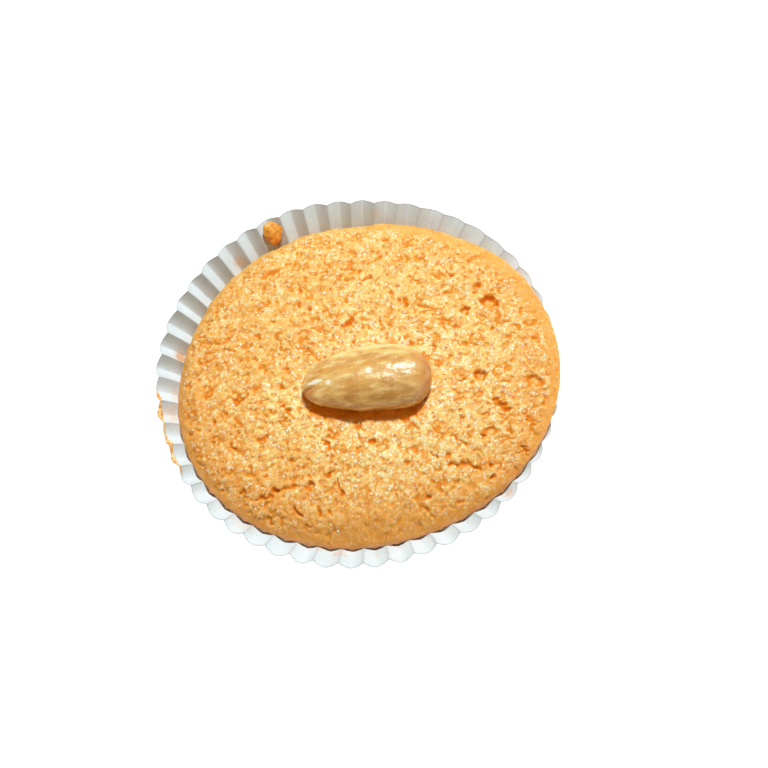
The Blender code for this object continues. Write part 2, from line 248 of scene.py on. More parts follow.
# %% [markdown]
# ### The flutes
# The wall is pressed into fifty folds. The crest of each bulges outwards, and a sharp crease
# runs between two crests. The functions here say where the folded wall is, so that the paper
# and the side of the cookie, which lies in the folds, can both be made from them.

# %% The flutes
FLUTES = 50
FLUTE_SEED = 3
FIRST_CREASE = math.radians(-2)
FLUTE_DEPTH, FOOT_FLUTE_DEPTH = 0.85 * MM, 0.55 * MM
FLUTE_DROP, LEFT_FLUTE_DROP = 0.45 * MM, 1.35 * MM  # how much lower a crest is at the rim
LEFT, FAR_LEFT, FAR_RIGHT = (188, 26), (146, 34), (45, 28)  # centre, half-width in degrees


def flute_starts():
    """Directions where the flutes begin, and the depth share of each. None are alike."""
    chance = np.random.default_rng(FLUTE_SEED)
    widths = 1 + 0.06 * chance.uniform(-1, 1, FLUTES)
    depths = 1 + 0.15 * chance.uniform(-1, 1, FLUTES)
    ends = np.cumsum(widths) * math.tau / widths.sum()
    return FIRST_CREASE + np.concatenate([[0], ends]), depths


def flute_fold(direction, up):
    """Height of the fold from 0 in a crease to 1 on a crest, and the flute's depth share.

    The rim is a row of round scallops. Lower down the same fold is two flat faces.
    """
    starts, depths = flute_starts()
    turned = (direction - starts[0]) % math.tau + starts[0]
    flute = np.clip(np.searchsorted(starts, turned, side="right") - 1, 0, FLUTES - 1)
    share = (turned - starts[flute]) / (starts[flute + 1] - starts[flute])
    flat = 0.8 * (1 - up**3)
    fold = (1 - flat) * np.sin(math.pi * share) + flat * (1 - np.abs(2 * share - 1))
    return fold, depths[flute]


def fold_push(direction, up, follow=1.0):
    """How far the fold moves the wall outwards and downwards at a share of the way up.

    A fold stands square to the sloping wall. On the left the wall lies flatter, so there
    its crests are lowered more. On the far right the cookie has pressed the folds open.
    What lies against the paper may follow its crests by a share only.
    """
    left, far_left = hump(direction, *LEFT), hump(direction, *FAR_LEFT)
    fold, share = flute_fold(direction, up)
    fold = fold * follow
    out = FOOT_FLUTE_DEPTH + (FLUTE_DEPTH - FOOT_FLUTE_DEPTH) * up
    out = out * (1 + 0.3 * far_left - 0.4 * left - 0.5 * hump(direction, *FAR_RIGHT))
    flatter = np.clip(left + far_left, 0, 1)
    down = (FLUTE_DROP + (LEFT_FLUTE_DROP - FLUTE_DROP) * flatter) * up
    return out * share * (fold - 0.5), down * share * (fold - 0.5)


def paper_point(direction, slant, inset=0.0):
    """A point of the folded wall, in metres."""
    up = slant / WALL_SLANT
    radius, height = wall_place(slant, inset)
    out, down = fold_push(direction, up)
    radius = radius + up * swelling(direction, CASE_SWELLS) + out
    x, y = radius * np.cos(direction), radius * np.sin(direction)
    return np.stack([x, y, height - down], axis=-1)


def folded_radius(direction, height, inset, follow=1.0):
    """Radius of the folded wall at a height, or of a surface that lies inset inside it."""
    lean = np.arcsin(np.clip((height - ARC_HEIGHT) / ARC, -1, 1))
    up = np.clip((lean - FOOT_LEAN) * ARC / WALL_SLANT, 0, 1)
    out, down = fold_push(direction, up, follow)
    level = np.clip(height + down, 0, wall_place(WALL_SLANT)[1])
    return wall_radius(level, inset) + up * swelling(direction, CASE_SWELLS) + out


print("flutes:", FLUTES)

# %% The dome of the cookie
COOKIE_X, COOKIE_Y = 2.2 * MM, -0.25 * MM
COOKIE_HALF_LENGTH, COOKIE_HALF_WIDTH = 34.7 * MM, 31.7 * MM
COOKIE_TOP, COOKIE_BOTTOM = 18.5 * MM, 0.6 * MM
EDGE_RISE, NEAR_EDGE_RISE = 1.8 * MM, 0.85 * MM
CONTACT_RISE = 0.4 * MM  # where the side meets the paper, over the height of the edge's seat
DOME_SPREAD = 2.5
FAR_SIDE = math.radians(75)  # the direction of the cookie's far side
UPRIGHT, NEAR_CUT = math.radians(90), math.radians(14)  # the near slope ends that much early
COOKIE_SWELLS = (
    (12, 16, -0.4), (48, 28, -0.9), (84, 12, -0.45), (160, 24, -0.55), (216, 36, 1.35),
    (280, 18, -0.35), (262, 60, -0.2),
)


def cookie_edge(direction):
    """Outline radius about the cookie's own middle."""
    c = np.cos(direction) / COOKIE_HALF_LENGTH
    s = np.sin(direction) / COOKIE_HALF_WIDTH
    return 1 / np.hypot(c, s) + swelling(direction, COOKIE_SWELLS)


def about_cookie(direction, out):
    """The place at a distance from the cookie's middle."""
    return COOKIE_X + out * np.cos(direction), COOKIE_Y + out * np.sin(direction)


def near_share(direction):
    """0 on the far side of the cookie, 1 on the near side."""
    return 0.5 - 0.5 * np.cos(direction - FAR_SIDE)


def edge_heights(direction):
    """Height of the cookie's widest line, and of the line where it meets the paper."""
    x, y = about_cookie(direction, cookie_edge(direction))
    seat = wall_height(np.minimum(np.hypot(x, y), RIM_RADIUS))
    # The cookie sank deeper into the case on the near side.
    sunk = smooth_step(0.25, 0.75, near_share(direction))
    rise = EDGE_RISE + (NEAR_EDGE_RISE - EDGE_RISE) * sunk
    return seat + rise, seat + CONTACT_RISE


def steepest(direction):
    """The dome ends upright, but on the near side the paper cuts it off before that."""
    return UPRIGHT - NEAR_CUT * smooth_step(0.45, 0.95, near_share(direction))


def dome_point(direction, climb):
    """A point of the smooth dome. climb is 0 at the top and a quarter turn at the edge."""
    widest, _ = edge_heights(direction)
    last = steepest(direction)
    climb = climb * last / UPRIGHT
    out = cookie_edge(direction) * (np.sin(climb) / np.sin(last)) ** (2 / DOME_SPREAD)
    up = (np.cos(climb) - np.cos(last)) / (1 - np.cos(last))
    height = widest + (COOKIE_TOP - widest) * up
    return np.stack([*about_cookie(direction, out), height], axis=-1)


def share_of_edge(x, y):
    """Direction from the cookie's middle, and the distance as a share of the edge's."""
    dx, dy = x - COOKIE_X, y - COOKIE_Y
    direction = np.arctan2(dy, dx)
    return direction, np.hypot(dx, dy) / cookie_edge(direction)


def dome_over(x, y):
    """The point of the smooth dome over a place."""
    direction, share = share_of_edge(x, y)
    last = steepest(direction)
    climb = np.arcsin(np.clip(share, 0, 1) ** (DOME_SPREAD / 2) * np.sin(last))
    return dome_point(direction, climb * UPRIGHT / last)


print("dome's edge is", round(float(cookie_edge(np.array(0.0))) / MM, 1), "mm out at +X")

# %% The side under the dome
SIDE_SHARE = 0.6  # the share of the drop that the side takes up; the rest is the bottom


def underside_point(direction, drop):
    """A point under the edge. drop is 0 at the widest line, 1 in the middle below."""
    widest, contact = edge_heights(direction)
    height = widest + (COOKIE_BOTTOM - widest) * np.clip(drop / SIDE_SHARE, 0, 1) ** 1.2
    edge = cookie_edge(direction)
    # The folds are counted round the case's middle, and the dome round its own.
    x, y = about_cookie(direction, edge)
    inset = (0.2 + 0.2 * np.clip(drop / 0.25, 0, 1)) * MM
    # On the near side the top of the cookie's side follows the crests less.
    near = smooth_step(0.25, 0.75, near_share(direction))
    follow = 1 - 0.6 * near * smooth_step(0.085, 0.03, drop)
    free = folded_radius(np.arctan2(y, x), np.minimum(height, contact), inset, follow)
    off = COOKIE_X * np.cos(direction) + COOKIE_Y * np.sin(direction)
    free = np.sqrt(off**2 - COOKIE_X**2 - COOKIE_Y**2 + free**2) - off
    # Below the widest line the side curls in or out until it fills the folds of the paper.
    curl = np.clip((widest - height) / (widest - contact), 0, 1)
    out = free + (edge - free) * np.sqrt(1 - curl**2)
    out = np.minimum(out, edge + (0.15 + 0.4 * np.clip(-np.sin(direction), 0, 1)) * MM)
    inward = np.clip((1 - drop) / (1 - SIDE_SHARE), 0, 1)
    out = np.where(drop > SIDE_SHARE, out * np.sqrt(inward), out)
    return np.stack([*about_cookie(direction, out), height], axis=-1)


print("halfway down the side at +X, in mm:", (underside_point(0.0, 0.3) / MM).round(1))

# %% [markdown]
# ## The almond's outline
# The crust has to make room for the almond that lies on it, so the almond's shape is needed
# before the crust is made. Its far side bulges evenly from the tip to the round end. The
# side towards the camera is straighter and has its corner near the round end.

# %% The almond's widths
ALMOND_LENGTH = 23.0 * MM
ALMOND_HALF_WIDTH = 6.3 * MM
ALMOND_ABOVE, ALMOND_BELOW = 4.1 * MM, 3.1 * MM
ALMOND_X, ALMOND_Y = 1.8 * MM, -3.9 * MM
ALMOND_SUNK = 1.5 * MM
ALMOND_Z = COOKIE_TOP - ALMOND_SUNK + ALMOND_BELOW
ALMOND_TURN = math.radians(-3)


def almond_half_width(along, far):
    """Half-width of the far or near side at a share of the length from the tip."""
    widest = np.where(far, 0.54, 0.74)
    blunt = np.where(far, 2.0, 2.6)
    tip_side = np.clip((widest - along) / widest, 0, 1)
    end_side = np.clip((along - widest) / (1 - widest), 0, 1)
    narrowing = (1 - tip_side**2) ** (1 / blunt) * np.sqrt(1 - end_side**2.5)
    return ALMOND_HALF_WIDTH * narrowing


def almond_thickness(along):
    """Thickness at a share of the length, as a share of the greatest."""
    both = almond_half_width(along, True) + almond_half_width(along, False)
    return (both / (2 * ALMOND_HALF_WIDTH)) ** 0.8


print("almond rests at", round((ALMOND_Z - ALMOND_BELOW) / MM, 1), "mm")


# %% Room for the almond in the crust
def along_and_across(dx, dy, turn):
    """The same way, measured along and across a direction turned by an angle."""
    c, s = math.cos(turn), math.sin(turn)
    return c * dx + s * dy, -s * dx + c * dy


def seen_from_almond(x, y, room):
    """Share of the almond's length with room at both ends, way across, and half-width there."""
    along, across = along_and_across(x - ALMOND_X, y - ALMOND_Y, ALMOND_TURN)
    along = along / (ALMOND_LENGTH + 2 * room) + 0.5
    return along, across, almond_half_width(np.clip(along, 0, 1), across > 0)


def under_almond(x, y, room):
    """Height of the almond's lower side over each place, and infinity beside it."""
    along, across, half = seen_from_almond(x, y, room)
    share = 1 - (across / (half + room)) ** 2
    inside = (along > 0) & (along < 1) & (share > 0)
    depth = ALMOND_BELOW * almond_thickness(np.clip(along, 0, 1))
    low = ALMOND_Z - depth * np.sqrt(np.clip(share, 0, 1)) - room
    return np.where(inside, low, np.inf)


def painted_almond_shadow(x, y):
    """1 where the almond's shadow is painted on the crust on the near side, 0 from 2 mm away on.
    """
    along, across, half = seen_from_almond(x, y, MM)
    near = smooth_step(0.0, 0.1, along) * smooth_step(0.95, 0.8, along) * (across < 0)
    return near * smooth_step(1.9 * MM, 0.6 * MM, np.abs(across) - half)


print("crust under the almond, in mm:", under_almond(ALMOND_X, ALMOND_Y, 0.0).round(4) / MM)

# %% [markdown]
# ## The pits and cracks of the crust
# Steam leaves the dough through pores, and the sugary skin tears as the cookie rises. The
# large pits and the long cracks are this cookie's own, so each has a place here. The many
# small pores come from noise further down, because no one would miss one of them.

# %% Large pits: x, y, length, width, turn in degrees, depth (mm)
PITS = (
    (25.9, 8.6, 3.2, 2.7, -35, 1.8), (21.9, -5.7, 2.4, 1.7, -40, 1.4),
    (24.4, 12.1, 1.5, 1.3, 0, 1.1), (21.1, 7.3, 1.7, 1.6, 20, 1.2),
    (23.9, 5.6, 2.0, 1.2, -20, 0.5), (19.1, 4.3, 1.3, 1.2, 0, 0.9),
    (19.9, 15.0, 1.2, 1.0, -30, 0.9), (21.8, 19.3, 1.2, 0.8, -30, 0.8),
    (28.6, 12.7, 0.9, 0.7, -30, 0.7), (25.4, 2.9, 1.2, 0.9, 0, 0.8),
    (32.6, 0.0, 1.2, 0.8, 45, 0.7), (25.2, 15.2, 0.8, 0.5, -20, 0.6),
    (14.7, 1.4, 0.6, 1.3, 0, 0.7), (12.3, -0.2, 0.9, 0.6, -40, 0.8),
    (15.7, 18.9, 0.9, 0.7, 0, 0.7), (-7.4, 17.0, 1.0, 1.7, 10, 0.9),
    (-7.8, 13.8, 0.7, 1.3, 20, 0.8), (-6.4, 12.7, 0.9, 0.8, 0, 0.8),
    (-3.7, 11.8, 0.9, 0.8, 0, 0.8), (-4.3, 19.9, 0.9, 0.7, 0, 0.6),
    (-0.9, 26.9, 1.0, 0.5, 20, 0.6), (0.9, 26.2, 1.0, 0.5, 0, 0.6), (7.8, 21.0, 1.2, 0.8, 20, 0.8),
    (2.6, 21.2, 1.0, 0.7, -10, 0.7), (3.7, 19.1, 0.8, 0.6, -20, 0.7),
    (8.5, 16.9, 0.9, 0.8, 0, 0.8), (8.7, 13.2, 0.9, 0.8, 0, 0.7), (9.8, 11.4, 0.9, 0.7, 0, 0.6),
    (-0.2, 17.7, 1.2, 0.7, -30, 0.6), (-14.1, 15.4, 0.6, 1.0, 0, 0.6),
    (-13.1, 11.4, 1.1, 0.6, -30, 0.7), (-8.1, 7.8, 2.1, 1.9, 0, 0.5),
    (-26.4, -5.3, 1.2, 0.8, 20, 0.7), (-13.4, -1.7, 1.1, 1.0, 0, 0.7),
    (0.5, 4.3, 0.8, 0.8, 20, 0.8), (6.7, 4.0, 0.6, 1.0, 0, 0.8), (0.8, -14.9, 1.5, 1.3, 0, 1.0),
    (-11.1, -20.6, 1.8, 1.4, 0, 1.0), (-4.4, -16.0, 1.0, 0.6, 0, 0.7),
    (-5.8, -23.2, 1.0, 0.9, 0, 0.7), (-10.8, -23.2, 2.2, 1.0, 0, 0.4),
    (17.4, -13.0, 0.9, 0.8, 0, 0.7), (17.1, -11.9, 0.5, 0.9, 0, 0.6),
    (20.6, -16.9, 1.1, 1.0, 0, 1.0), (21.9, -16.1, 2.4, 1.7, 20, 0.6),
    (13.7, -19.5, 1.0, 0.9, 0, 0.8), (20.8, -22.1, 1.1, 1.1, 0, 0.8),
    (20.7, -24.1, 1.1, 0.7, 0, 0.7), (8.9, -25.9, 1.1, 0.8, 0, 0.7),
    (31.5, -8.0, 3.6, 1.6, -30, 0.9),
)
print(len(PITS), "large pits")

# %% Cracks: width, depth, then the places they run through (mm)
CRACKS = (
    (0.65, 0.9, (-22.3, -1.8), (-21.8, -3.0), (-20.9, -2.3), (-19.7, -1.7)),
    (0.5, 0.6, (-18.6, 5.1), (-17.7, 5.1), (-16.7, 4.6)),
    (0.45, 0.5, (-14.2, 4.5), (-14.7, 3.9), (-15.2, 2.6), (-16.2, 1.7)),
    (0.5, 0.6, (-23.7, 10.2), (-22.9, 9.1)), (0.45, 0.5, (-22.6, 8.2), (-21.8, 8.0), (-20.7, 7.1)),
    (0.55, 0.6, (-27.7, 7.7), (-26.8, 6.7), (-25.3, 7.0)),
    (0.75, 0.9, (-14.0, -5.4), (-13.4, -5.4), (-12.8, -7.1)),
    (0.4, 0.4, (-16.0, -6.2), (-15.1, -5.9)),
    (0.55, 0.7, (-19.2, -10.7), (-18.5, -10.4), (-17.2, -10.3)),
    (0.4, 0.5, (-22.3, -6.6), (-21.7, -7.0), (-21.3, -7.4)),
    (0.6, 0.8, (-24.2, -10.2), (-23.7, -10.9), (-22.8, -11.6)),
    (0.75, 0.9, (-7.4, -13.2), (-7.1, -13.8), (-6.7, -14.8)),
    (0.35, 0.4, (-6.7, -15.1), (-6.7, -16.4), (-7.1, -17.7)),
    (0.45, 0.6, (-6.6, 2.8), (-5.9, 1.8)), (0.45, 0.6, (-6.6, 8.7), (-5.9, 8.3), (-4.4, 8.6)),
    (0.9, 1.2, (-1.2, 8.2), (-0.1, 8.3), (1.0, 9.2)), (0.45, 0.6, (-2.4, 9.3), (-1.4, 9.2)),
    (0.6, 0.8, (4.1, 16.8), (4.7, 16.8), (5.5, 17.3)), (0.5, 0.6, (-3.1, 19.9), (-2.1, 19.9)),
    (0.5, 0.6, (2.3, 10.5), (3.3, 10.2)), (0.45, 0.5, (7.2, 6.8), (7.7, 6.2), (8.2, 6.6)),
    (0.75, 0.8, (10.7, 11.3), (10.8, 10.7), (11.1, 10.0)), (0.45, 0.5, (5.7, 7.8), (6.3, 6.9)),
    (0.5, 0.6, (16.3, 6.0), (17.4, 6.1), (18.3, 5.7)),
    (0.5, 0.6, (26.1, 3.4), (26.4, 3.8), (27.8, 3.8), (28.6, 4.1)),
    (0.55, 0.6, (29.1, 3.4), (30.1, 2.9), (30.1, 2.4)),
    (0.5, 0.6, (31.3, 3.4), (32.2, 2.9), (33.8, 3.7)),
    (0.5, 0.6, (18.3, 11.4), (19.7, 11.3), (19.9, 12.5)), (0.45, 0.5, (18.9, -1.2), (20.4, -1.4)),
    (0.5, 0.6, (21.7, 2.5), (21.1, 0.9), (21.8, 0.2)),
    (1.1, 1.3, (23.9, -10.8), (24.5, -11.6), (24.8, -12.6)),
    (0.75, 0.9, (24.8, -12.6), (25.7, -12.7)),
    (0.55, 0.7, (14.9, -16.0), (15.5, -16.3), (16.3, -17.2), (16.9, -18.0)),
    (0.55, 0.7, (25.6, -15.0), (25.4, -16.3), (25.3, -17.2)),
    (0.5, 0.6, (28.5, -15.0), (29.7, -15.3), (29.8, -15.9)),
    (0.5, 0.7, (26.9, -19.4), (27.2, -20.0), (27.8, -20.7)),
    (0.6, 0.8, (10.8, -18.4), (11.4, -18.9), (11.7, -19.5)),
    (0.55, 0.7, (6.3, -19.5), (7.1, -19.4), (7.7, -18.6)),
    (0.55, 0.8, (13.8, -21.0), (14.6, -21.3), (16.0, -21.2), (16.8, -21.1), (17.6, -21.8)),
    (0.95, 1.1, (17.6, -21.8), (18.7, -22.4)), (0.5, 0.6, (25.1, -22.7), (25.3, -23.6)),
    (0.45, 0.5, (11.0, -21.7), (12.0, -21.8)), (0.45, 0.5, (13.6, -24.2), (14.8, -24.1)),
    (0.45, 0.5, (13.7, -27.6), (15.0, -27.2)), (0.5, 0.6, (19.0, -27.2), (19.9, -27.3)),
    (0.6, 0.7, (8.2, -27.4), (8.8, -28.0)),
    (0.5, 0.6, (-14.0, -15.5), (-12.8, -15.8), (-12.2, -15.3)),
    (0.5, 0.6, (-21.2, -14.9), (-21.0, -15.2), (-21.4, -16.0)),
    (0.55, 0.6, (-19.3, -17.0), (-18.6, -17.4)), (0.9, 1.1, (-17.8, -19.8), (-16.9, -20.1)),
    (0.65, 0.9, (-16.9, -20.1), (-15.6, -20.0), (-13.9, -20.2)),
    (0.4, 0.5, (-13.9, -20.2), (-12.5, -20.6), (-11.7, -20.9)),
    (0.7, 0.8, (-20.5, -20.8), (-19.7, -20.6), (-18.4, -20.9)),
    (0.6, 0.7, (-23.6, -18.8), (-23.1, -18.6), (-22.8, -19.0)),
    (0.7, 0.8, (-8.0, -19.4), (-7.3, -19.0), (-6.4, -18.7)),
    (0.55, 0.8, (-6.3, -20.6), (-6.2, -21.9), (-5.7, -23.0)),
    (0.75, 0.9, (-14.8, -23.8), (-14.4, -24.4), (-13.7, -24.9)),
    (0.65, 0.8, (-10.6, -24.4), (-10.2, -25.2), (-10.3, -25.8)),
    (0.5, 0.6, (-8.9, -25.4), (-8.3, -25.9)), (0.45, 0.5, (-19.8, -23.8), (-19.2, -24.8)),
    (0.5, 0.5, (-13.4, -26.7), (-12.4, -27.0)), (0.6, 0.8, (-9.9, -30.2), (-9.7, -30.7)),
)
print(len(CRACKS), "cracks")

# %% [markdown]
# ## The relief
# The crust could be a bump map, but a bump map has no shadows in its pits and no torn
# outline. So the relief is real: a very fine mesh is laid over the dome, and every point of
# it then moves in or out. Cell noise gives the crumbs: every point of space belongs to the
# nearest of many scattered seeds, so the distance to the nearest seed makes a rounded crumb,
# and the places that are far from every seed make the pores between.

# %% Noise at many points
NOISE_SEED = 5
noise.seed_set(NOISE_SEED)  # or the noise of vectors would be another one at every start


def soft_noise(points, size):
    """Blender's noise, from -1 to 1, with lumps of a size in metres."""
    return np.array([noise.noise(p) for p in map(Vector, points / size)])


def wander(points, size, reach):
    """Points pushed about by up to a reach, so that what is read there looks torn."""
    return points + reach * np.array([noise.noise_vector(p) for p in map(Vector, points / size)])


def crumb_noise(points, size):
    """Distances to the nearest two seeds as shares of the size, and the nearest's own number."""
    near = np.empty((len(points), 2))
    seeds = np.empty((len(points), 3))
    for row, p in enumerate(map(Vector, points / size)):
        distances, places = noise.voronoi(p)
        near[row] = distances[:2]
        seeds[row] = places[0]
    # Any large, odd factors will do: only the digits after the point are kept.
    lot = np.sin(seeds @ [12.9898, 78.233, 37.719]) * 43758.5453
    return near[:, 0], near[:, 1], lot - np.floor(lot)


print("noise at one point:", soft_noise(np.array([[0.01, 0.02, 0.0]]), 2 * MM).round(3))

# %% How far the large pits and cracks sink
WIDE_PIT = 1.6  # mm: a pit this long has steeper walls and a floor
PIT_SHARE, CRACK_SHARE = 0.75, 0.7  # how much of the depths above is carved


def within(points, middle, reach):
    """Numbers of the points in a square about a place, to save time on all others."""
    return np.flatnonzero(np.abs(points[:, :2] - middle).max(axis=1) < reach)


def carve_pits(points, ragged):
    """Depth in metres at every point below the whole crust, and 1 on the floors of wide pits."""
    depth, floor = np.zeros(len(points)), np.zeros(len(points))
    for x, y, length, width, turn, deep in PITS:
        centre = dome_over(np.array(x * MM), np.array(y * MM))
        at = within(points, centre[:2], length * MM)
        offset = ragged[at] - centre
        along, across = along_and_across(offset[:, 0], offset[:, 1], math.radians(turn))
        along, across = along / (length * MM / 2), across / (width * MM / 2)
        away = np.sqrt(along**2 + across**2 + (offset[:, 2] / (length * MM)) ** 2)
        steep = 0.35 if length < WIDE_PIT else 0.65
        depth[at] = np.maximum(depth[at], PIT_SHARE * deep * MM * smooth_step(1.2, steep, away))
        if length >= WIDE_PIT:
            floor[at] = np.maximum(floor[at], smooth_step(0.85, 0.45, away))
    return depth, floor


def carve_cracks(points, ragged):
    """Depth in metres at every point. A crack is narrow here and wide there."""
    depth = np.zeros(len(points))
    narrow = 1 + 0.9 * soft_noise(points + 0.7, 1.1 * MM)
    for width, deep, *places in CRACKS:
        for (x0, y0), (x1, y1) in zip(places, places[1:]):
            start, run = np.array((x0, y0)) * MM, np.array((x1 - x0, y1 - y0)) * MM
            at = within(points, start + run / 2, np.abs(run).max() / 2 + width * MM)
            offset = ragged[at, :2] - start
            share = np.clip(offset @ run / (run @ run), 0, 1)
            away = np.linalg.norm(offset - share[:, None] * run, axis=1) / (width * MM / 2)
            carved = CRACK_SHARE * deep * MM * smooth_step(1.25, 0.3, away * narrow[at])
            depth[at] = np.maximum(depth[at], carved)
    return depth


print("deepest pit in mm:", max(pit[-1] for pit in PITS) * PIT_SHARE)


# %% How the crust rises and sinks between them
def border_share(points):
    """1 on the smooth border of the crust, 0 on the crackled middle."""
    direction, share = share_of_edge(points[:, 0], points[:, 1])
    from_edge = (1 - share) * cookie_edge(direction)
    far_right = bell(direction - 0.75, 0.9)
    wide = (1.6 + 3.2 * far_right) * MM
    return smooth_step(1.0, 0.35, from_edge / wide)


def calm_share(points):
    """1 on the near side, where the crust is smoother and has fewer pores."""
    direction, share = share_of_edge(points[:, 0], points[:, 1])
    return bell(direction + 1.7, 1.0) * smooth_step(0.35, 0.8, share)


def crust_relief(points):
    """Rise in metres, depth of the pores in metres, and each crumb's roundness and lot."""
    middle = (1 - 0.5 * border_share(points)) * (1 - 0.4 * calm_share(points))
    rise = 0.3 * MM * soft_noise(points, 6 * MM) + 0.22 * MM * soft_noise(points, 2.8 * MM)
    rise = rise + middle * 0.24 * MM * soft_noise(points, 1.4 * MM)
    # Clumps leave an open joint between them here and there.
    bent = wander(wander(points, 2.2 * MM, 0.5 * MM), 0.7 * MM, 0.25 * MM)
    first, second, _ = crumb_noise(bent, 1.7 * MM)
    open_joint = smooth_step(0.12, 0.4, soft_noise(points + 0.3, 2.2 * MM))
    sunk = 0.4 * MM * smooth_step(0.17, 0.03, second - first) * open_joint * middle
    # Crumbs: round grains under a millimetre wide, with a pore wherever they leave a gap.
    first, _, lot = crumb_noise(wander(points, 0.9 * MM, 0.12 * MM), 0.7 * MM)
    crumb = 1 - np.clip(first / 0.85, 0, 1) ** 2
    rise = rise + middle * 0.12 * MM * crumb * (0.5 + lot)
    gaps = smooth_step(0.6, 0.85, first) * smooth_step(-0.15, 0.3, soft_noise(points, 2.0 * MM))
    sunk = np.maximum(sunk, 0.3 * MM * gaps * middle)
    return rise, sunk, crumb, lot


print("calm share near the front edge:", calm_share(np.array([[0, -0.03, 0]])).round(2))

# %% [markdown]
# ## The crust
# A ball of triangles would crowd at its poles and stretch where it bends down at the edge. A
# square grid that is drawn round into a disc keeps its cells nearly square everywhere, so the
# relief is as fine near the edge as in the middle. The disc is laid over the dome like a
# cloth. Rings of faces then go on from its rim, down the side, and close it underneath.


# %% A square grid drawn round
def round_grid(cells):
    """Places in a disc of radius 1, the faces between them, and its rim in order."""
    steps = np.linspace(-1, 1, cells + 1)
    across, up = (side.ravel() for side in np.meshgrid(steps, steps))
    wide = np.abs(across) > np.abs(up)
    reach = np.where(wide, across, up)
    slope = np.where(wide, up, across) / np.where(reach == 0, 1, reach)
    turn = np.where(wide, slope, 2 - slope) * math.pi / 4
    places = np.stack([reach * np.cos(turn), reach * np.sin(turn)], axis=-1)
    number = np.arange((cells + 1) ** 2).reshape(cells + 1, cells + 1)
    corners = number[:-1, :-1], number[:-1, 1:], number[1:, 1:], number[1:, :-1]
    faces = np.stack(corners, axis=-1).reshape(-1, 4)
    rim = np.concatenate([number[0, :-1], number[:-1, -1], number[-1, :0:-1], number[:0:-1, 0]])
    return places, faces, rim


print("places in a grid of 4 by 4 cells:", len(round_grid(4)[0]))


# %% Meshes and their numbers
def new_piece(name, points, faces):
    mesh = bpy.data.meshes.new(name)
    mesh.from_pydata(points.tolist(), [], faces)
    piece = bpy.data.objects.new(name, mesh)
    bpy.context.scene.collection.objects.link(piece)
    return piece


def ball(name, subdivisions):
    bpy.ops.mesh.primitive_ico_sphere_add(subdivisions=subdivisions, radius=1)
    made = bpy.context.object
    made.name = made.data.name = name
    return made


def band(first, second):
    """A closed ring of faces between two rings of points, given by their numbers."""
    corners = np.roll(first, -1), first, second, np.roll(second, -1)
    return np.stack(corners, axis=-1).tolist()


def fan(ring, middle):
    """Triangles from a ring of points to one point."""
    return [[b, a, middle] for a, b in zip(ring.tolist(), np.roll(ring, -1).tolist())]


def vectors(rows, name):
    flat = np.empty(len(rows) * 3)
    rows.foreach_get(name, flat)
    return flat.reshape(-1, 3)


def coordinates(mesh):
    return vectors(mesh.vertices, "co")


def outward_of(mesh):
    """The direction square to the surface at every point."""
    return vectors(mesh.vertex_normals, "vector")


def set_coordinates(mesh, points):
    mesh.vertices.foreach_set("co", points.astype(np.float32).ravel())
    mesh.update()


def store(mesh, name, values):
    """Keeps a number for every point, for the material to read."""
    layer = mesh.attributes.new(name, "FLOAT", "POINT")
    layer.data.foreach_set("value", values.astype(np.float32))


def applied(made):
    """The object's mesh with its modifiers worked in."""
    graph = bpy.context.evaluated_depsgraph_get()
    mesh = bpy.data.meshes.new_from_object(made.evaluated_get(graph))
    made.modifiers.clear()
    old, made.data = made.data, mesh
    bpy.data.meshes.remove(old)
    return mesh


print("faces in a band of six points:", len(band(np.arange(6), np.arange(6, 12))))

# %% Lay the smooth dome
SIDE_DROPS = (0.009, 0.018, 0.035, 0.06, 0.09, 0.14, 0.22, 0.31, 0.4, 0.48, 0.54, 0.6)
GRID_CELLS, QUICK_GRID_CELLS = 286, 145


def climb_at(share):
    """The climb at which a share of the dome's area lies above, counted from the top."""
    steps = np.linspace(0, math.pi / 2, 400)
    flat = np.sin(steps) ** (2 / DOME_SPREAD)
    strip = np.hypot(np.diff(flat), 0.36 * np.diff(np.cos(steps))) * (flat[1:] + flat[:-1])
    grown = np.concatenate([[0], np.cumsum(strip)]) / strip.sum()
    return np.interp(share, grown, steps)


def lay_dome(cells):
    """The crust without its relief, and the climb of every point."""
    places, faces, rim = round_grid(cells)
    direction = np.arctan2(places[:, 1], places[:, 0])
    climb = climb_at(np.minimum(np.sum(places**2, axis=1), 1))
    points, faces = [dome_point(direction, climb)], faces.tolist()
    ring, count = rim, len(places)
    for drop in SIDE_DROPS:
        points.append(underside_point(direction[rim], np.full(len(rim), drop)))
        below = count + np.arange(len(rim))
        faces += band(ring, below)
        ring, count = below, count + len(rim)
    points.append(underside_point(np.zeros(1), np.ones(1)))
    faces += fan(ring, count)
    crust = new_piece("sugared_crust", np.concatenate(points), faces)
    return crust, np.concatenate([climb, np.full(count + 1 - len(climb), math.pi / 2)])


crust, crust_climb = lay_dome(GRID_CELLS)
print("crust:", len(crust.data.vertices), "points")


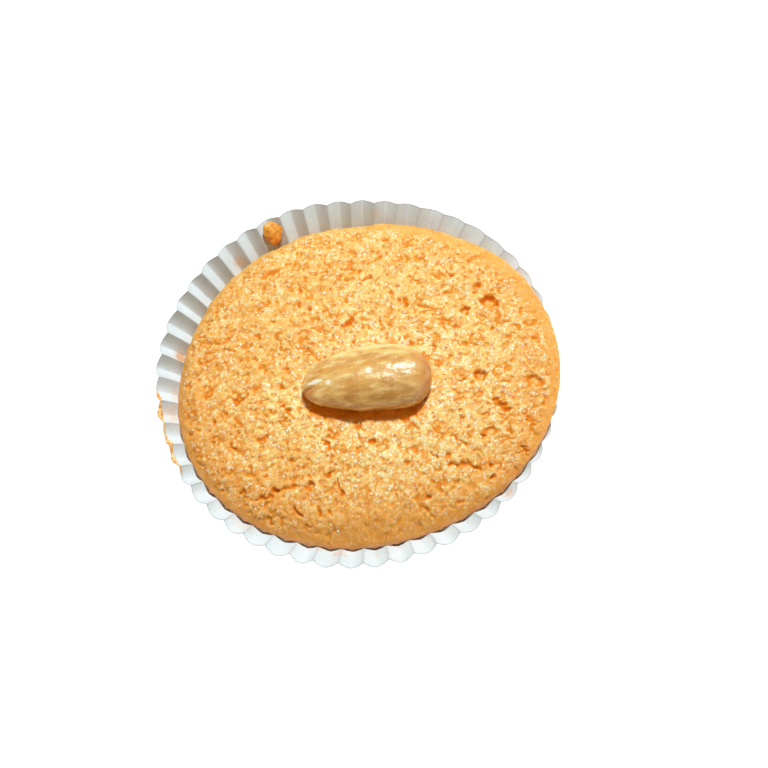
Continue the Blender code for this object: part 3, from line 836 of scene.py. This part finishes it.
# %% Raise the relief
def raise_relief(mesh, climb):
    """Moves the points in and out, and stores the crumbs and how hollow each place is."""
    smooth = coordinates(mesh)
    rise, pores, crumb, lot = crust_relief(smooth)
    ragged = wander(smooth, 0.8 * MM, 0.5 * MM)
    pits, floor = carve_pits(smooth, ragged)
    sunk = np.maximum(np.maximum(pits, carve_cracks(smooth, ragged)), pores)
    high = rise * smooth_step(1.57, 1.42, climb) - sunk * smooth_step(1.56, 1.4, climb)
    rough = smooth + outward_of(mesh) * high[:, None]
    rough[:, 2] = np.minimum(rough[:, 2], under_almond(rough[:, 0], rough[:, 1], 0.04 * MM))
    set_coordinates(mesh, rough)
    mesh.shade_smooth()
    below = below_share(rough)
    # The hollow share is painted as orange shade on pit, crack and pore walls; the lit floors of
    # wide pits get little.
    store(mesh, "hollow", np.clip(sunk / (0.5 * MM), 0, 1) * (1 - 0.8 * floor) * (1 - below))
    store(mesh, "crumb", crumb)
    store(mesh, "lot", lot)
    return rough


def below_share(points):
    """1 on the side under the widest line, 0 on the dome."""
    direction, share = share_of_edge(points[:, 0], points[:, 1])
    widest, _ = edge_heights(direction)
    return smooth_step(0.8 * MM, -0.1 * MM, points[:, 2] - widest) * (share > 0.7)


rough_crust = raise_relief(crust.data, crust_climb)
print("crust:", len(crust.data.loops) - 2 * len(crust.data.polygons), "triangles")


# %% Mark where the crust is darker gold, sugary or smooth
SUGARY_X, SUGARY_Y, SUGARY_REACH = 6, -6, 17  # mm: where the sugar lies thickest


def mark_crust(mesh, points):
    """Stores what else the material has to know about every point."""
    direction, share = share_of_edge(points[:, 0], points[:, 1])
    below = below_share(points)
    calm = 0.8 * calm_share(points) * smooth_step(0.65, 0.95, share)
    store(mesh, "border", np.maximum(np.where(below > 0.5, 1, border_share(points)), calm))
    x, y = points[:, 0] / MM, points[:, 1] / MM
    from_sugar = (x - SUGARY_X) ** 2 + (y - SUGARY_Y) ** 2
    store(mesh, "sugary", 0.95 + 1.1 * np.exp(-from_sugar / SUGARY_REACH**2))
    far_side = bell(direction - 1.8, 0.8)
    deeper_gold = smooth_step(0.5, 1.02, share + 0.12 * soft_noise(points, 6 * MM))
    far_half = 0.65 * smooth_step(5, 30, y - 0.9 * x) * (1 - 0.6 * smooth_step(20, 30, y))
    store(mesh, "deeper_gold", np.maximum(deeper_gold * (1 - 0.75 * far_side), far_half))
    # Where the almond's shadow is painted on the crust.
    store(mesh, "beside", painted_almond_shadow(points[:, 0], points[:, 1]))
    store(mesh, "under", below * (0.5 + 0.5 * near_share(direction)))


mark_crust(crust.data, rough_crust)
print("marks:", [a.name for a in crust.data.attributes if a.data_type == "FLOAT"])

# %% [markdown]
# ## Materials from nodes
# A material here is a small network: textures make numbers, ramps turn numbers into colours,
# and the shader turns colours into a surface. These helpers keep the networks short to read.
# Each adds its nodes to the material that was begun last.


# %% Node helpers
def new_finish(name):
    """Begins a material. The helpers below work in the tree of the one begun last."""
    global tree
    finish = bpy.data.materials.new(name)
    finish.use_nodes = True
    tree = finish.node_tree
    return finish, tree.nodes["Principled BSDF"]


def plug(socket, value):
    """Gives a socket a value, or links it to another node's socket."""
    if isinstance(value, bpy.types.NodeSocket):
        tree.links.new(value, socket)
    else:
        socket.default_value = value


def settle(made, **inputs):
    """Plugs values into a node by the names of its sockets."""
    for name, value in inputs.items():
        plug(made.inputs[name.replace("_", " ")], value)


def node(kind, settings=None, **inputs):
    made = tree.nodes.new("ShaderNode" + kind)
    for name, value in (settings or {}).items():
        setattr(made, name, value)
    settle(made, **inputs)
    return made


def sums(how, *values):
    made = node("Math", {"operation": how})
    for socket, value in zip(made.inputs, values):
        plug(socket, value)
    return made.outputs[0]


def times(product, *others):
    for other in others:
        product = sums("MULTIPLY", product, other)
    return product


def spread(value, low, high, to_low=0.0, to_high=1.0):
    """Stretches a number from one range to another, with soft ends."""
    made = node("MapRange", {"interpolation_type": "SMOOTHSTEP"}, Value=value)
    settle(made, From_Min=low, From_Max=high, To_Min=to_low, To_Max=to_high)
    return made.outputs[0]


def raise_surface(shader, height, distance):
    """Fine relief that is too small for the mesh."""
    bump = node("Bump", Height=height, Distance=distance, Strength=1.0)
    tree.links.new(bump.outputs[0], shader.inputs["Normal"])


print("node helpers ready")


# %% Colour over colour
def mix(share, first, second):
    made = tree.nodes.new("ShaderNodeMix")
    made.data_type = "RGBA"
    for index, value in ((0, share), (6, first), (7, second)):
        plug(made.inputs[index], value)
    return made.outputs[2]


def two_tones(share, first, second):
    """From one colour to another. Both are given from 0 to 255."""
    return mix(share, colour(*first), colour(*second))


def coat(under, tint, *shares):
    """Lays a colour, from 0 to 255, over another as thickly as the product of the shares."""
    return mix(times(*shares), under, colour(*tint))


print("colour helpers ready")


# %% Textures
def place():
    return node("TexCoord").outputs["Object"]


def kept(name):
    """A number stored on the mesh."""
    return node("Attribute", {"attribute_name": name}).outputs["Fac"]


def mottle(where, size, detail=3.0, rough=0.55):
    """Noise from 0 to 1 with spots of a size in metres."""
    made = node("TexNoise", Vector=where, Scale=1 / size, Detail=detail, Roughness=rough)
    return made.outputs["Fac"]


def specks(where, size, outside, inside):
    """Round specks set a size apart, and a number from 0 to 1 that is each speck's own."""
    cells = node("TexVoronoi", Vector=where, Scale=1 / size)
    own = node("SeparateColor", Color=cells.outputs["Color"]).outputs[0]
    return spread(cells.outputs["Distance"], outside, inside), own


def torn(where, size, reach):
    """The same places pushed about by noise, so that round specks get ragged."""
    push = node("TexNoise", Vector=where, Scale=1 / size, Detail=2.0).outputs["Color"]
    moved = node("VectorMath", {"operation": "MULTIPLY_ADD"})
    for socket, value in zip(moved.inputs, (push, [2 * reach] * 3, where)):
        plug(socket, value)
    return moved.outputs[0]


print("texture helpers ready")

# %% [markdown]
# ### Golden crust
# The crumbs that stand up are pale with sugar, and the dough between them is golden. The walls
# of pores, pits and cracks are painted a darker orange as shade, darkest where they are deepest.
# Pores too small for the mesh are ragged specks of painted shade, and frost too small for it is
# white specks of sugar that are also painted glints. The almond's shadow is painted beside it.
# The border is smoother and darker, and the side down in the paper is bare dough. A little light
# is let into the dough, which is what makes shaded dough glow orange and not grey.


# %% Crust material
def crust_finish():
    finish, shader = new_finish("golden sugared crust")
    where = place()
    crumb, hollow, sugary = (kept(name) for name in ("crumb", "hollow", "sugary"))
    inside = spread(kept("border"), 0.9, 0.2, 0.35, 1.0)
    broad = spread(mottle(where, 7 * MM, 2.0), 0.38, 0.62)
    gold = two_tones(broad, (245, 188, 94), (249, 202, 114))
    # Darker gold towards the edge, less at the far edge, and over a broad patch on the far left.
    gold = coat(gold, (240, 172, 76), kept("deeper_gold"))
    # Every crumb stands up pale with sugar, and no two are equally pale.
    top, lot = spread(crumb, 0.1, 0.8), spread(kept("lot"), 0.1, 1.0, 0.15, 0.9)
    fine = spread(mottle(where, 0.4 * MM, 3.0, 0.6), 0.38, 0.6, 0.1, 1.0)
    drift = spread(mottle(where, 2.0 * MM, 3.0, 0.6), 0.34, 0.58, 0.35, 1.0)
    gold = coat(gold, (255, 235, 176), top, lot, fine, drift, sugary, inside)
    # The dough in the low gaps between them is darker orange, and so is the dough in patches.
    gold = coat(gold, (232, 156, 60), spread(crumb, 0.45, 0.1), inside, 0.5)
    patch = spread(mottle(where, 1.5 * MM, 3.0, 0.6), 0.5, 0.34, 0.0, 0.8)
    gold = coat(gold, (232, 156, 58), patch, inside)
    # Painted shade: fine pores are ragged orange specks, and the walls of pits and cracks are
    # painted orange, darker where they are deepest.
    pores, lot = specks(torn(where, 0.6 * MM, 0.5 * MM), 1.1 * MM, 0.42, 0.2)
    gold = coat(gold, (224, 136, 22), pores, spread(lot, 0.3, 0.6, 0.0, 0.85), inside)
    gold = coat(gold, (236, 152, 42), spread(hollow, 0.1, 0.6))
    gold = coat(gold, (222, 128, 16), spread(hollow, 0.6, 0.95, 0.0, 0.8))
    # Frost: grains of sugar too small for the mesh, in drifts. The white specks are the sugar's
    # own colour and also painted glints of light.
    frost_and_glints, lot = specks(torn(where, 0.5 * MM, 0.3 * MM), 0.45 * MM, 0.6, 0.15)
    white = spread(lot, 0.25, 0.95, 0.0, 0.95)
    drifts = spread(mottle(where, 1.8 * MM, 2.0), 0.34, 0.58, 0.4, 1.0)
    shallow = spread(hollow, 0.35, 0.05)
    gold = coat(gold, (255, 250, 228), frost_and_glints, white, sugary, drifts, shallow, inside)
    # Painted shadow: the crust beside the almond is painted deep orange where its shadow falls.
    # Down in the paper the side is bare.
    gold = coat(gold, (255, 150, 8), kept("beside"))
    side = spread(mottle(where, 1.1 * MM), 0.4, 0.62)
    side = two_tones(side, (238, 176, 138), (226, 156, 96))
    gold = mix(times(kept("under"), 0.85), gold, side)
    glints = spread(mottle(where, 0.5 * MM, 2.0), 0.4, 0.7, 0.5, 0.8)
    settle(shader, Base_Color=gold, Roughness=glints, Specular_IOR_Level=0.3)
    settle(shader, Subsurface_Weight=0.7, Subsurface_Scale=0.3 * MM)
    settle(shader, Subsurface_Radius=(1.0, 0.8, 0.5))
    raise_surface(shader, mottle(where, 0.3 * MM, 4.0, 0.65), 0.04 * MM)
    return finish


crust.data.materials.append(crust_finish())
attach(crust, "root")
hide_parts("cookie")
print("crust dressed")

# %% [markdown]
# ## Sugar
# Grains of sugar lie on the crust and catch the light as white points. Each is a tiny
# bevelled cube, sunk a little into the crust and turned at random. They are all joined into
# one piece, because hundreds of objects would be slow.

# %% Scatter the sugar
SUGAR_SEED, SUGAR_GRAINS = 23, 420
SUGAR_FROM = 12 * MM  # no grain lies lower on the crust


def bevelled_cube():
    """The corners and the triangles of one grain."""
    grain = bmesh.new()
    bmesh.ops.create_cube(grain, size=1)
    bmesh.ops.bevel(grain, geom=list(grain.edges), offset=0.24, segments=1, affect="EDGES")
    bmesh.ops.triangulate(grain, faces=list(grain.faces))
    points = np.array([v.co for v in grain.verts])
    faces = []
    for face in grain.faces:
        numbers = [v.index for v in face.verts]
        start = numbers.index(min(numbers))
        faces.append(numbers[start:] + numbers[:start])
    grain.free()
    # The bevel lists its faces in any order, so they are put in one that never changes.
    return points, sorted(faces)


def sugar_weight(surface, hollow):
    """How likely a grain lies on each point: in patches, on the open crust."""
    x, y = surface[:, 0], surface[:, 1]
    _, share = share_of_edge(x, y)
    patches = smooth_step(-0.3, 0.5, soft_noise(surface, 4 * MM))
    weight = patches * (1 - border_share(surface)) * (1 - 0.8 * calm_share(surface))
    open_crust = (hollow < 0.1) & (share < 0.97) & (surface[:, 2] > SUGAR_FROM)
    clear = (under_almond(x, y, 0.3 * MM) == np.inf) & (painted_almond_shadow(x, y) == 0)
    return weight * (open_crust & clear)


def scatter_sugar():
    chance = np.random.default_rng(SUGAR_SEED)
    cube_points, cube_faces = bevelled_cube()
    surface = coordinates(crust.data)
    hollow = np.empty(len(surface))
    crust.data.attributes["hollow"].data.foreach_get("value", hollow)
    weight = sugar_weight(surface, hollow)
    chosen = chance.choice(len(surface), SUGAR_GRAINS, replace=False, p=weight / weight.sum())
    points, faces = [], []
    for at in surface[chosen]:
        size = (0.2 + 0.3 * chance.uniform() ** 2) * MM
        turn = Quaternion(chance.normal(size=4)).normalized().to_matrix()
        stretch = np.diag(chance.uniform(0.7, 1.3, 3))
        first = len(points) * len(cube_points)
        points.append(cube_points @ stretch @ np.array(turn).T * size + at - [0, 0, 0.42 * size])
        faces.extend([[first + i for i in face] for face in cube_faces])
    sugar = new_piece("sugar_grains", np.concatenate(points), faces)
    sugar.data.shade_smooth()
    return sugar


sugar = scatter_sugar()
print("sugar:", len(sugar.data.polygons), "faces")


# %% Sugar material
def sugar_finish():
    finish, shader = new_finish("white sugar")
    creamy = spread(mottle(place(), 1.5 * MM), 0.4, 0.6)
    tint = two_tones(creamy, (255, 250, 232), (255, 244, 214))
    settle(shader, Base_Color=tint, Roughness=0.6)
    return finish


sugar.data.materials.append(sugar_finish())
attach(sugar, "root")
print("sugar dressed")

# %% [markdown]
# ## The almond
# A blanched almond has lost its brown skin. It keeps the furrows that the skin's veins left:
# they fan out from the pointed tip and run the whole length. At the tip the two halves part
# in a little mouth. The almond starts as a ball and is drawn out to its outline. Noise that is
# long one way and short the other makes the furrows.


# %% Draw the ball out
def drawn_out(unit):
    """Points of the smooth almond, their share of its length, and their way sideways and up."""
    along = (unit[:, 0] + 1) / 2
    round_way = np.maximum(np.hypot(unit[:, 1], unit[:, 2]), 1e-9)
    sideways, upward = unit[:, 1] / round_way, unit[:, 2] / round_way
    half = almond_half_width(along, sideways > 0)
    thick = np.where(upward > 0, ALMOND_ABOVE, ALMOND_BELOW) * almond_thickness(along)
    x = (along - 0.5) * ALMOND_LENGTH
    # The round end is a little fuller on top than the tip.
    thick = thick + 0.045 * x * (upward > 0)
    return np.stack([x, half * sideways, thick * upward], axis=-1), along, sideways, upward


almond = ball("blanched_almond", 7)
smooth_almond, along, sideways, upward = drawn_out(coordinates(almond.data))
set_coordinates(almond.data, smooth_almond)
print("almond in mm:", (np.ptp(smooth_almond, axis=0) / MM).round(1))


# %% Furrows and the mouth at the tip
CHALK = (  # pale dry marks: x, y, half-length and half-width in mm, and strength
    (0.55, -0.05, 0.55, 0.55, 0.8),
    (-6.8, -0.95, 0.4, 0.4, 1.0),
    (-9.2, -0.3, 1.3, 0.35, 0.9),
)


def chalk_marks(points):
    chalk = np.zeros(len(points))
    for x, y, length, width, strength in CHALK:
        away = np.hypot((points[:, 0] / MM - x) / length, (points[:, 1] / MM - y) / width)
        chalk = np.maximum(chalk, strength * smooth_step(1.3, 0.8, away) * (points[:, 2] > 0))
    return chalk


def cut_furrows(mesh, points):
    """Moves the points of the smooth almond, and stores what its material has to know."""
    x = points[:, 0]
    # Round the almond the noise goes by the angle, so the furrows meet at the tip.
    angle = np.arctan2(sideways, upward)
    curve = angle + 0.35 * (along - 0.5) * np.cos(angle)
    strip = np.stack([x / (11 * MM), curve * 1.5, np.zeros_like(x)], axis=1)
    veins = soft_noise(strip + 2.2, 1.0)
    furrows = soft_noise(strip * [1.4, 2.4, 1] + 9.4, 1.0)
    dents = soft_noise(points, 3.2 * MM) + 0.45 * soft_noise(points * [0.5, 1, 1], 1.3 * MM)
    body = smooth_step(0.0, 0.12, along) * smooth_step(1.0, 0.88, along)
    relief = (0.26 * veins + 0.12 * furrows) * body + 0.12 * dents
    points = points + outward_of(mesh) * (relief * MM)[:, None]
    # The mouth at the tip, where the two halves part.
    aside = points[:, 1] - (-1.25 * MM + 0.12 * (x + ALMOND_LENGTH / 2))
    mouth = bell(aside, 0.2 * MM) * smooth_step(0.1, 0.05, along)
    lip = bell(aside + 0.55 * MM, 0.35 * MM) * smooth_step(0.1, 0.04, along)
    points[:, 0] += 0.7 * MM * mouth * smooth_step(0.04, 0.0, along)
    points[:, 2] -= 0.35 * MM * mouth * (upward > -0.2)
    set_coordinates(mesh, points)
    store(mesh, "furrow", 0.5 * furrows + 0.5 * veins + 0.5)
    store(mesh, "mouth", mouth)
    store(mesh, "along", along)
    store(mesh, "lip", lip)
    store(mesh, "chalk", chalk_marks(points))
    mesh.shade_smooth()


cut_furrows(almond.data, smooth_almond)
turn = Matrix.Rotation(ALMOND_TURN, 4, "Z")
almond.matrix_world = Matrix.Translation((ALMOND_X, ALMOND_Y, ALMOND_Z)) @ turn
print("almond:", len(almond.data.polygons), "triangles")


# %% Almond material
def almond_finish():
    finish, shader = new_finish("blanched almond")
    where = place()
    stretched = node("Mapping", Vector=where, Scale=(0.28, 1.0, 1.0)).outputs[0]
    streaks = mottle(stretched, 1.2 * MM, 5.0, 0.6)
    clouds = mottle(where, 2.4 * MM, 3.0)
    broad = spread(mottle(stretched, 3.0 * MM, 2.0), 0.38, 0.62)
    skin = two_tones(broad, (230, 182, 102), (246, 210, 136))
    skin = coat(skin, (218, 160, 80), spread(kept("furrow"), 0.75, 0.2, 0.0, 0.7))
    skin = coat(skin, (251, 227, 164), spread(streaks, 0.5, 0.68, 0.0, 0.75))
    skin = coat(skin, (196, 136, 66), spread(streaks, 0.46, 0.34, 0.0, 0.7))
    skin = coat(skin, (208, 144, 74), spread(clouds, 0.52, 0.7, 0.0, 0.55))
    # Painted shade on the side towards the camera, then the round end, the mouth and the pale
    # marks.
    across = node("SeparateXYZ", Vector=where).outputs["Y"]
    shaded_near_side = spread(across, -1.0 * MM, -5.5 * MM)
    skin = coat(skin, (184, 126, 46), shaded_near_side, spread(streaks, 0.62, 0.4, 0.35, 0.85))
    ends = spread(kept("along"), 0.8, 1.0)
    skin = coat(skin, (204, 128, 56), ends, spread(clouds, 0.35, 0.6, 0.45, 0.9))
    skin = coat(skin, (226, 150, 84), kept("lip"))
    skin = coat(skin, (196, 116, 54), kept("mouth"))
    dry = spread(streaks, 0.36, 0.52, 0.4, 1.0)
    skin = coat(skin, (255, 246, 222), kept("chalk"), dry)
    settle(shader, Base_Color=skin, Roughness=spread(clouds, 0.35, 0.65, 0.24, 0.38))
    settle(shader, Specular_IOR_Level=0.8, Subsurface_Weight=0.3)
    settle(shader, Subsurface_Radius=(1.0, 0.65, 0.35), Subsurface_Scale=1.2 * MM)
    dimples = sums("MULTIPLY_ADD", mottle(where, 0.9 * MM, 2.0), 0.8, streaks)
    raise_surface(shader, dimples, 0.11 * MM)
    return finish


almond.data.materials.append(almond_finish())
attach(almond, "root")
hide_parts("almond")
print("almond dressed")

# %% [markdown]
# ## The paper case
# A machine presses the case from thin baking paper. Its wall is folded into fluted scallops,
# so the rim is a ring of round waves with sharp creases between them. The flat base is a
# circle. The wall is drawn here as a grid that runs round the case and up the wall, because
# every crease runs straight from the base to the rim. Solidify makes the sheet a real one.

# %% Grease and dough on the paper
STAINS = (  # degrees, mm up the wall, half-width in degrees, half-height in mm, strength
    (160.5, 12.0, 2.2, 1.6, 0.9), (181.0, 13.8, 3.6, 1.6, 0.4), (174.0, 12.6, 2.4, 1.0, 0.2),
    # The mark at 108.5 degrees, just below the bead, is partly a stain and partly painted shade of
    # the bead.
    (108.5, 11.4, 1.4, 1.2, 0.7), (122.0, 12.2, 2.2, 1.6, 0.5), (75.6, 14.1, 1.6, 1.2, 0.25),
    (256.0, 12.7, 2.6, 1.6, 0.35), (249.5, 12.0, 1.4, 1.0, 0.3), (225.0, 13.6, 4.0, 1.6, 0.2),
    (310.8, 15.0, 2.6, 1.2, 0.45), (267.0, 12.8, 1.6, 1.2, 0.2),
)


def stain_share(points, up):
    """How much dough or fat has soaked into every point of the paper."""
    direction = np.degrees(np.arctan2(points[:, 1], points[:, 0]))
    ragged = 1 + 0.5 * soft_noise(points, 1.2 * MM)
    stain = np.zeros(len(points))
    for around, height, wide, tall, strength in STAINS:
        off = (direction - around + 180) % 360 - 180
        away = np.hypot(off / wide, (up * WALL_SLANT / MM - height) / tall) * ragged
        stain = np.maximum(stain, strength * smooth_step(1.2, 0.4, away))
    return stain


print(len(STAINS), "stains")

# %% Fold the paper
COLUMNS_A_FLUTE, ROWS, BASE_RINGS = 12, 30, 14
PAPER_THICKNESS = 0.12 * MM


def fold_wall(directions):
    """Points of the wall, row by row from the base, and the share of the way up of each."""
    rows = [paper_point(directions, WALL_SLANT * row / ROWS, 0.05 * MM) for row in range(ROWS + 1)]
    points = np.concatenate(rows)
    up = np.repeat(np.arange(ROWS + 1) / ROWS, len(directions))
    # Paper is never quite flat: shallow dents run over several flutes.
    outward = points * [1, 1, 0] / np.linalg.norm(points[:, :2], axis=1)[:, None]
    dents = 0.10 * MM * soft_noise(points, 4 * MM) + 0.05 * MM * soft_noise(points, 1.6 * MM)
    points = points + outward * (dents * up**3)[:, None]
    points[:, 2] += up**6 * 0.12 * MM * soft_noise(points + 0.5, 5 * MM)
    return points, up


def close_base(wall, columns):
    """The wall with a flat base of rings about the middle, as one sheet."""
    base = wall[:columns]
    sizes = [1 - ring / BASE_RINGS for ring in range(1, BASE_RINGS)]
    smaller = [base * [size, size, 1] for size in sizes]
    points = np.concatenate([wall, *smaller, [[0, 0, base[0, 2]]]])
    rings = np.arange(len(points) - 1).reshape(-1, columns)
    faces = []
    for row in range(ROWS):
        faces += band(rings[row + 1], rings[row])
    inwards = [rings[0], *rings[ROWS + 1 :]]
    for outer, inner in zip(inwards, inwards[1:]):
        faces += band(outer, inner)
    return new_piece("fluted_paper", points, faces + fan(inwards[-1], len(points) - 1))


creases, _ = flute_starts()
paper_around = np.concatenate(
    [np.linspace(a, b, COLUMNS_A_FLUTE, endpoint=False) for a, b in zip(creases, creases[1:])]
)
paper_wall, paper_up = fold_wall(paper_around)
paper = close_base(paper_wall, len(paper_around))
print("paper:", len(paper.data.vertices), "points")


# %% Mark the paper and give it its thickness
def painted_paper_shade(direction, around, up):
    """1 where shade is painted on the paper. around is the share of the way over a flute.

    The painted shade lies on the faces of the far flutes that look away from the light, and as a
    broad patch on the far wall.
    """
    facing = direction + math.pi + math.radians(50) * np.sign(around - 0.5)
    off_crest = np.abs(around - 0.5)
    paper_shade = smooth_step(0.1, -0.6, np.cos(facing - KEY_AROUND)) * smooth_step(0.35, 0.6, up)
    paper_shade = paper_shade * hump(direction, 128, 62)
    paper_shade = paper_shade * smooth_step(0.0, 0.06, off_crest) * smooth_step(0.5, 0.44, off_crest)
    return paper_shade + 0.45 * hump(direction, 92, 34) * smooth_step(0.35, 0.6, up)


def mark_paper(mesh):
    """Stores for every point what the material has to know. The base stays clean."""
    columns, up = len(paper_around), paper_up
    around = np.tile(np.arange(columns) % COLUMNS_A_FLUTE / COLUMNS_A_FLUTE, ROWS + 1)
    crease_shade = np.clip(1 - 12 * np.minimum(around, 1 - around), 0, 1) * smooth_step(0.0, 0.1, up)
    clean = np.zeros(len(mesh.vertices) - len(up))
    paper_shade = painted_paper_shade(np.tile(paper_around, ROWS + 1), around, up)
    for name, values in (("paper_shade", paper_shade), ("crease", crease_shade), ("up", up)):
        store(mesh, name, np.concatenate([values, clean]))
    # The wall's points are at hand, and the base's are read from the mesh.
    points = np.concatenate([paper_wall, coordinates(mesh)[len(up) :]])
    store(mesh, "stain", stain_share(points, np.concatenate([up, clean])))


mark_paper(paper.data)
sheet = paper.modifiers.new("paper thickness", "SOLIDIFY")
sheet.thickness = PAPER_THICKNESS
sheet.offset = 0
paper_mesh = applied(paper)
paper_mesh.shade_smooth()
paper_mesh.set_sharp_from_angle(angle=math.radians(14))
print("paper:", len(paper.data.polygons), "faces")


# %% Paper material
def paper_finish():
    finish, shader = new_finish("white baking paper")
    where = place()
    fibres = mottle(where, 0.3 * MM, 3.0, 0.7)
    cloud = spread(mottle(where, 6 * MM, 3.0), 0.35, 0.65)
    sheet = two_tones(cloud, (221, 231, 233), (230, 239, 241))
    sheet = coat(sheet, (198, 204, 202), spread(fibres, 0.45, 0.7, 0.0, 0.4))
    # Painted shade in the creases of the folds.
    sheet = coat(sheet, (176, 180, 182), kept("crease"), 0.45)
    # Painted shade on the far flutes' faces that look away from the light, and on the far wall.
    sheet = coat(sheet, (184, 171, 158), kept("paper_shade"), 0.42)
    # Dough and fat soak in unevenly, fibre by fibre.
    soaked = spread(fibres, 0.3, 0.6, 0.45, 1.0)
    sheet = coat(sheet, (224, 160, 72), kept("stain"), soaked)
    # Painted shade along the cut rim of the paper.
    shaded_cut_edge = spread(kept("up"), 0.97, 1.0, 0.0, 0.25)
    sheet = coat(sheet, (170, 158, 148), shaded_cut_edge)
    settle(shader, Base_Color=sheet, Roughness=0.5, Specular_IOR_Level=0.4)
    raise_surface(shader, fibres, 0.03 * MM)
    return finish


paper.data.materials.append(paper_finish())
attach(paper, "root")
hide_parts("paper_case")
print("paper dressed")

# %% [markdown]
# ## The spilled dough
# Some dough ran over while it was still soft. One drop stuck inside the paper and baked to a
# rough bead with a smaller lump on its right. A thin smear dried along the rim on the left.

# %% Dough bead
BEAD_AROUND = math.radians(109.7)
BEAD_UP_WALL = 13.9 * MM
BEAD_SIZE = 3.1, 4.0, 1.9  # mm
BEAD_LUMPS = (  # place on a ball of radius 1, push and reach as shares of it
    (0.95, 0.1, 0.3, 0.42, 0.5),
    (-0.5, 0.75, 0.5, 0.2, 0.5),
    (-0.2, -0.9, 0.4, 0.15, 0.5),
)


def shape_bead():
    bead = ball("baked_dough_bead", 5)
    mesh = bead.data
    unit = coordinates(mesh)
    low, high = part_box("dough_bead")
    middle = np.array((low + high) / 2)
    lean = FOOT_LEAN + BEAD_UP_WALL / ARC
    lumpy = 1 + 0.14 * soft_noise(unit * MM, 0.8 * MM) + 0.07 * soft_noise(unit * MM, 0.35 * MM)
    for x, y, z, push, reach in BEAD_LUMPS:
        away = np.linalg.norm(unit - [x, y, z], axis=1)
        lumpy = lumpy + push * bell(away, reach)
    size = np.array(BEAD_SIZE) / 2 * MM
    points = unit * size * lumpy[:, None] + [0.6 * MM, 0, -0.6 * MM]
    turn = Matrix.Rotation(BEAD_AROUND - math.pi / 2, 3, "Z")
    turn = turn @ Matrix.Rotation(math.pi / 2 - lean, 3, "X")
    set_coordinates(mesh, points @ np.array(turn).T + middle)
    mesh.shade_smooth()
    return bead


def dough_finish(name, pale, brown, dark):
    finish, shader = new_finish(name)
    where = place()
    crumbs = mottle(where, 0.6 * MM)
    dough = two_tones(spread(crumbs, 0.4, 0.6), pale, brown)
    spots = spread(mottle(where, 1.1 * MM, 2.0), 0.5, 0.68, 0.0, 0.8)
    settle(shader, Base_Color=coat(dough, dark, spots), Roughness=0.5)
    raise_surface(shader, crumbs, 0.08 * MM)
    return finish


bead = shape_bead()
baked = dough_finish("baked dough", (252, 188, 86), (236, 150, 44), (214, 120, 30))
bead.data.materials.append(baked)
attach(bead, "root")
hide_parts("dough_bead")
print("bead:", len(bead.data.polygons), "triangles")

# %% Smear on the rim
SMEAR_FROM, SMEAR_TO = 173.0, 201.5  # degrees
SMEAR_LUMPS = (  # degrees, reach in degrees, push in mm
    (175.5, 2.0, 0.12),
    (180.5, 1.6, 0.22),
    (190.5, 1.8, 0.34),
    (195.5, 2.0, 0.18),
)


def shape_smear(stations, sides):
    """A ragged thread along the rim: rings of points with a face between every four."""
    degrees = np.linspace(SMEAR_FROM, SMEAR_TO, stations)
    direction = np.radians(degrees)
    thick = np.full(stations, 0.2)
    for centre, reach, push in SMEAR_LUMPS:
        thick = thick + push * bell(degrees - centre, reach)
    ends = np.minimum(degrees - degrees[0], degrees[-1] - degrees)
    thick = thick * np.sqrt(np.clip(ends / 1.5, 0.0004, 1)) * MM
    core = paper_point(direction, WALL_SLANT - 0.25 * MM, 0.1 * MM)
    thick = thick * (1 + 0.45 * soft_noise(core, 0.7 * MM))
    turn = np.arange(sides) * math.tau / sides
    outward = np.stack([np.cos(direction), np.sin(direction), np.zeros(stations)], axis=-1)
    sideways = np.cos(turn)[None, :, None] * outward[:, None]
    rings = core[:, None] + thick[:, None, None] * (
        sideways + np.sin(turn)[None, :, None] * [0, 0, 0.9]
    )
    number = np.arange(stations * sides).reshape(stations, sides)
    faces = [number[0].tolist(), number[-1, ::-1].tolist()]
    for first, second in zip(number, number[1:]):
        faces += band(first, second)
    smear = new_piece("dough_on_the_rim", rings.reshape(-1, 3), faces)
    smear.data.shade_smooth()
    return smear


smear = shape_smear(stations=120, sides=10)
dried = dough_finish("dried dough", (248, 216, 158), (242, 188, 112), (232, 146, 56))
smear.data.materials.append(dried)
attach(smear, "root")
print("smear:", len(smear.data.polygons), "faces")
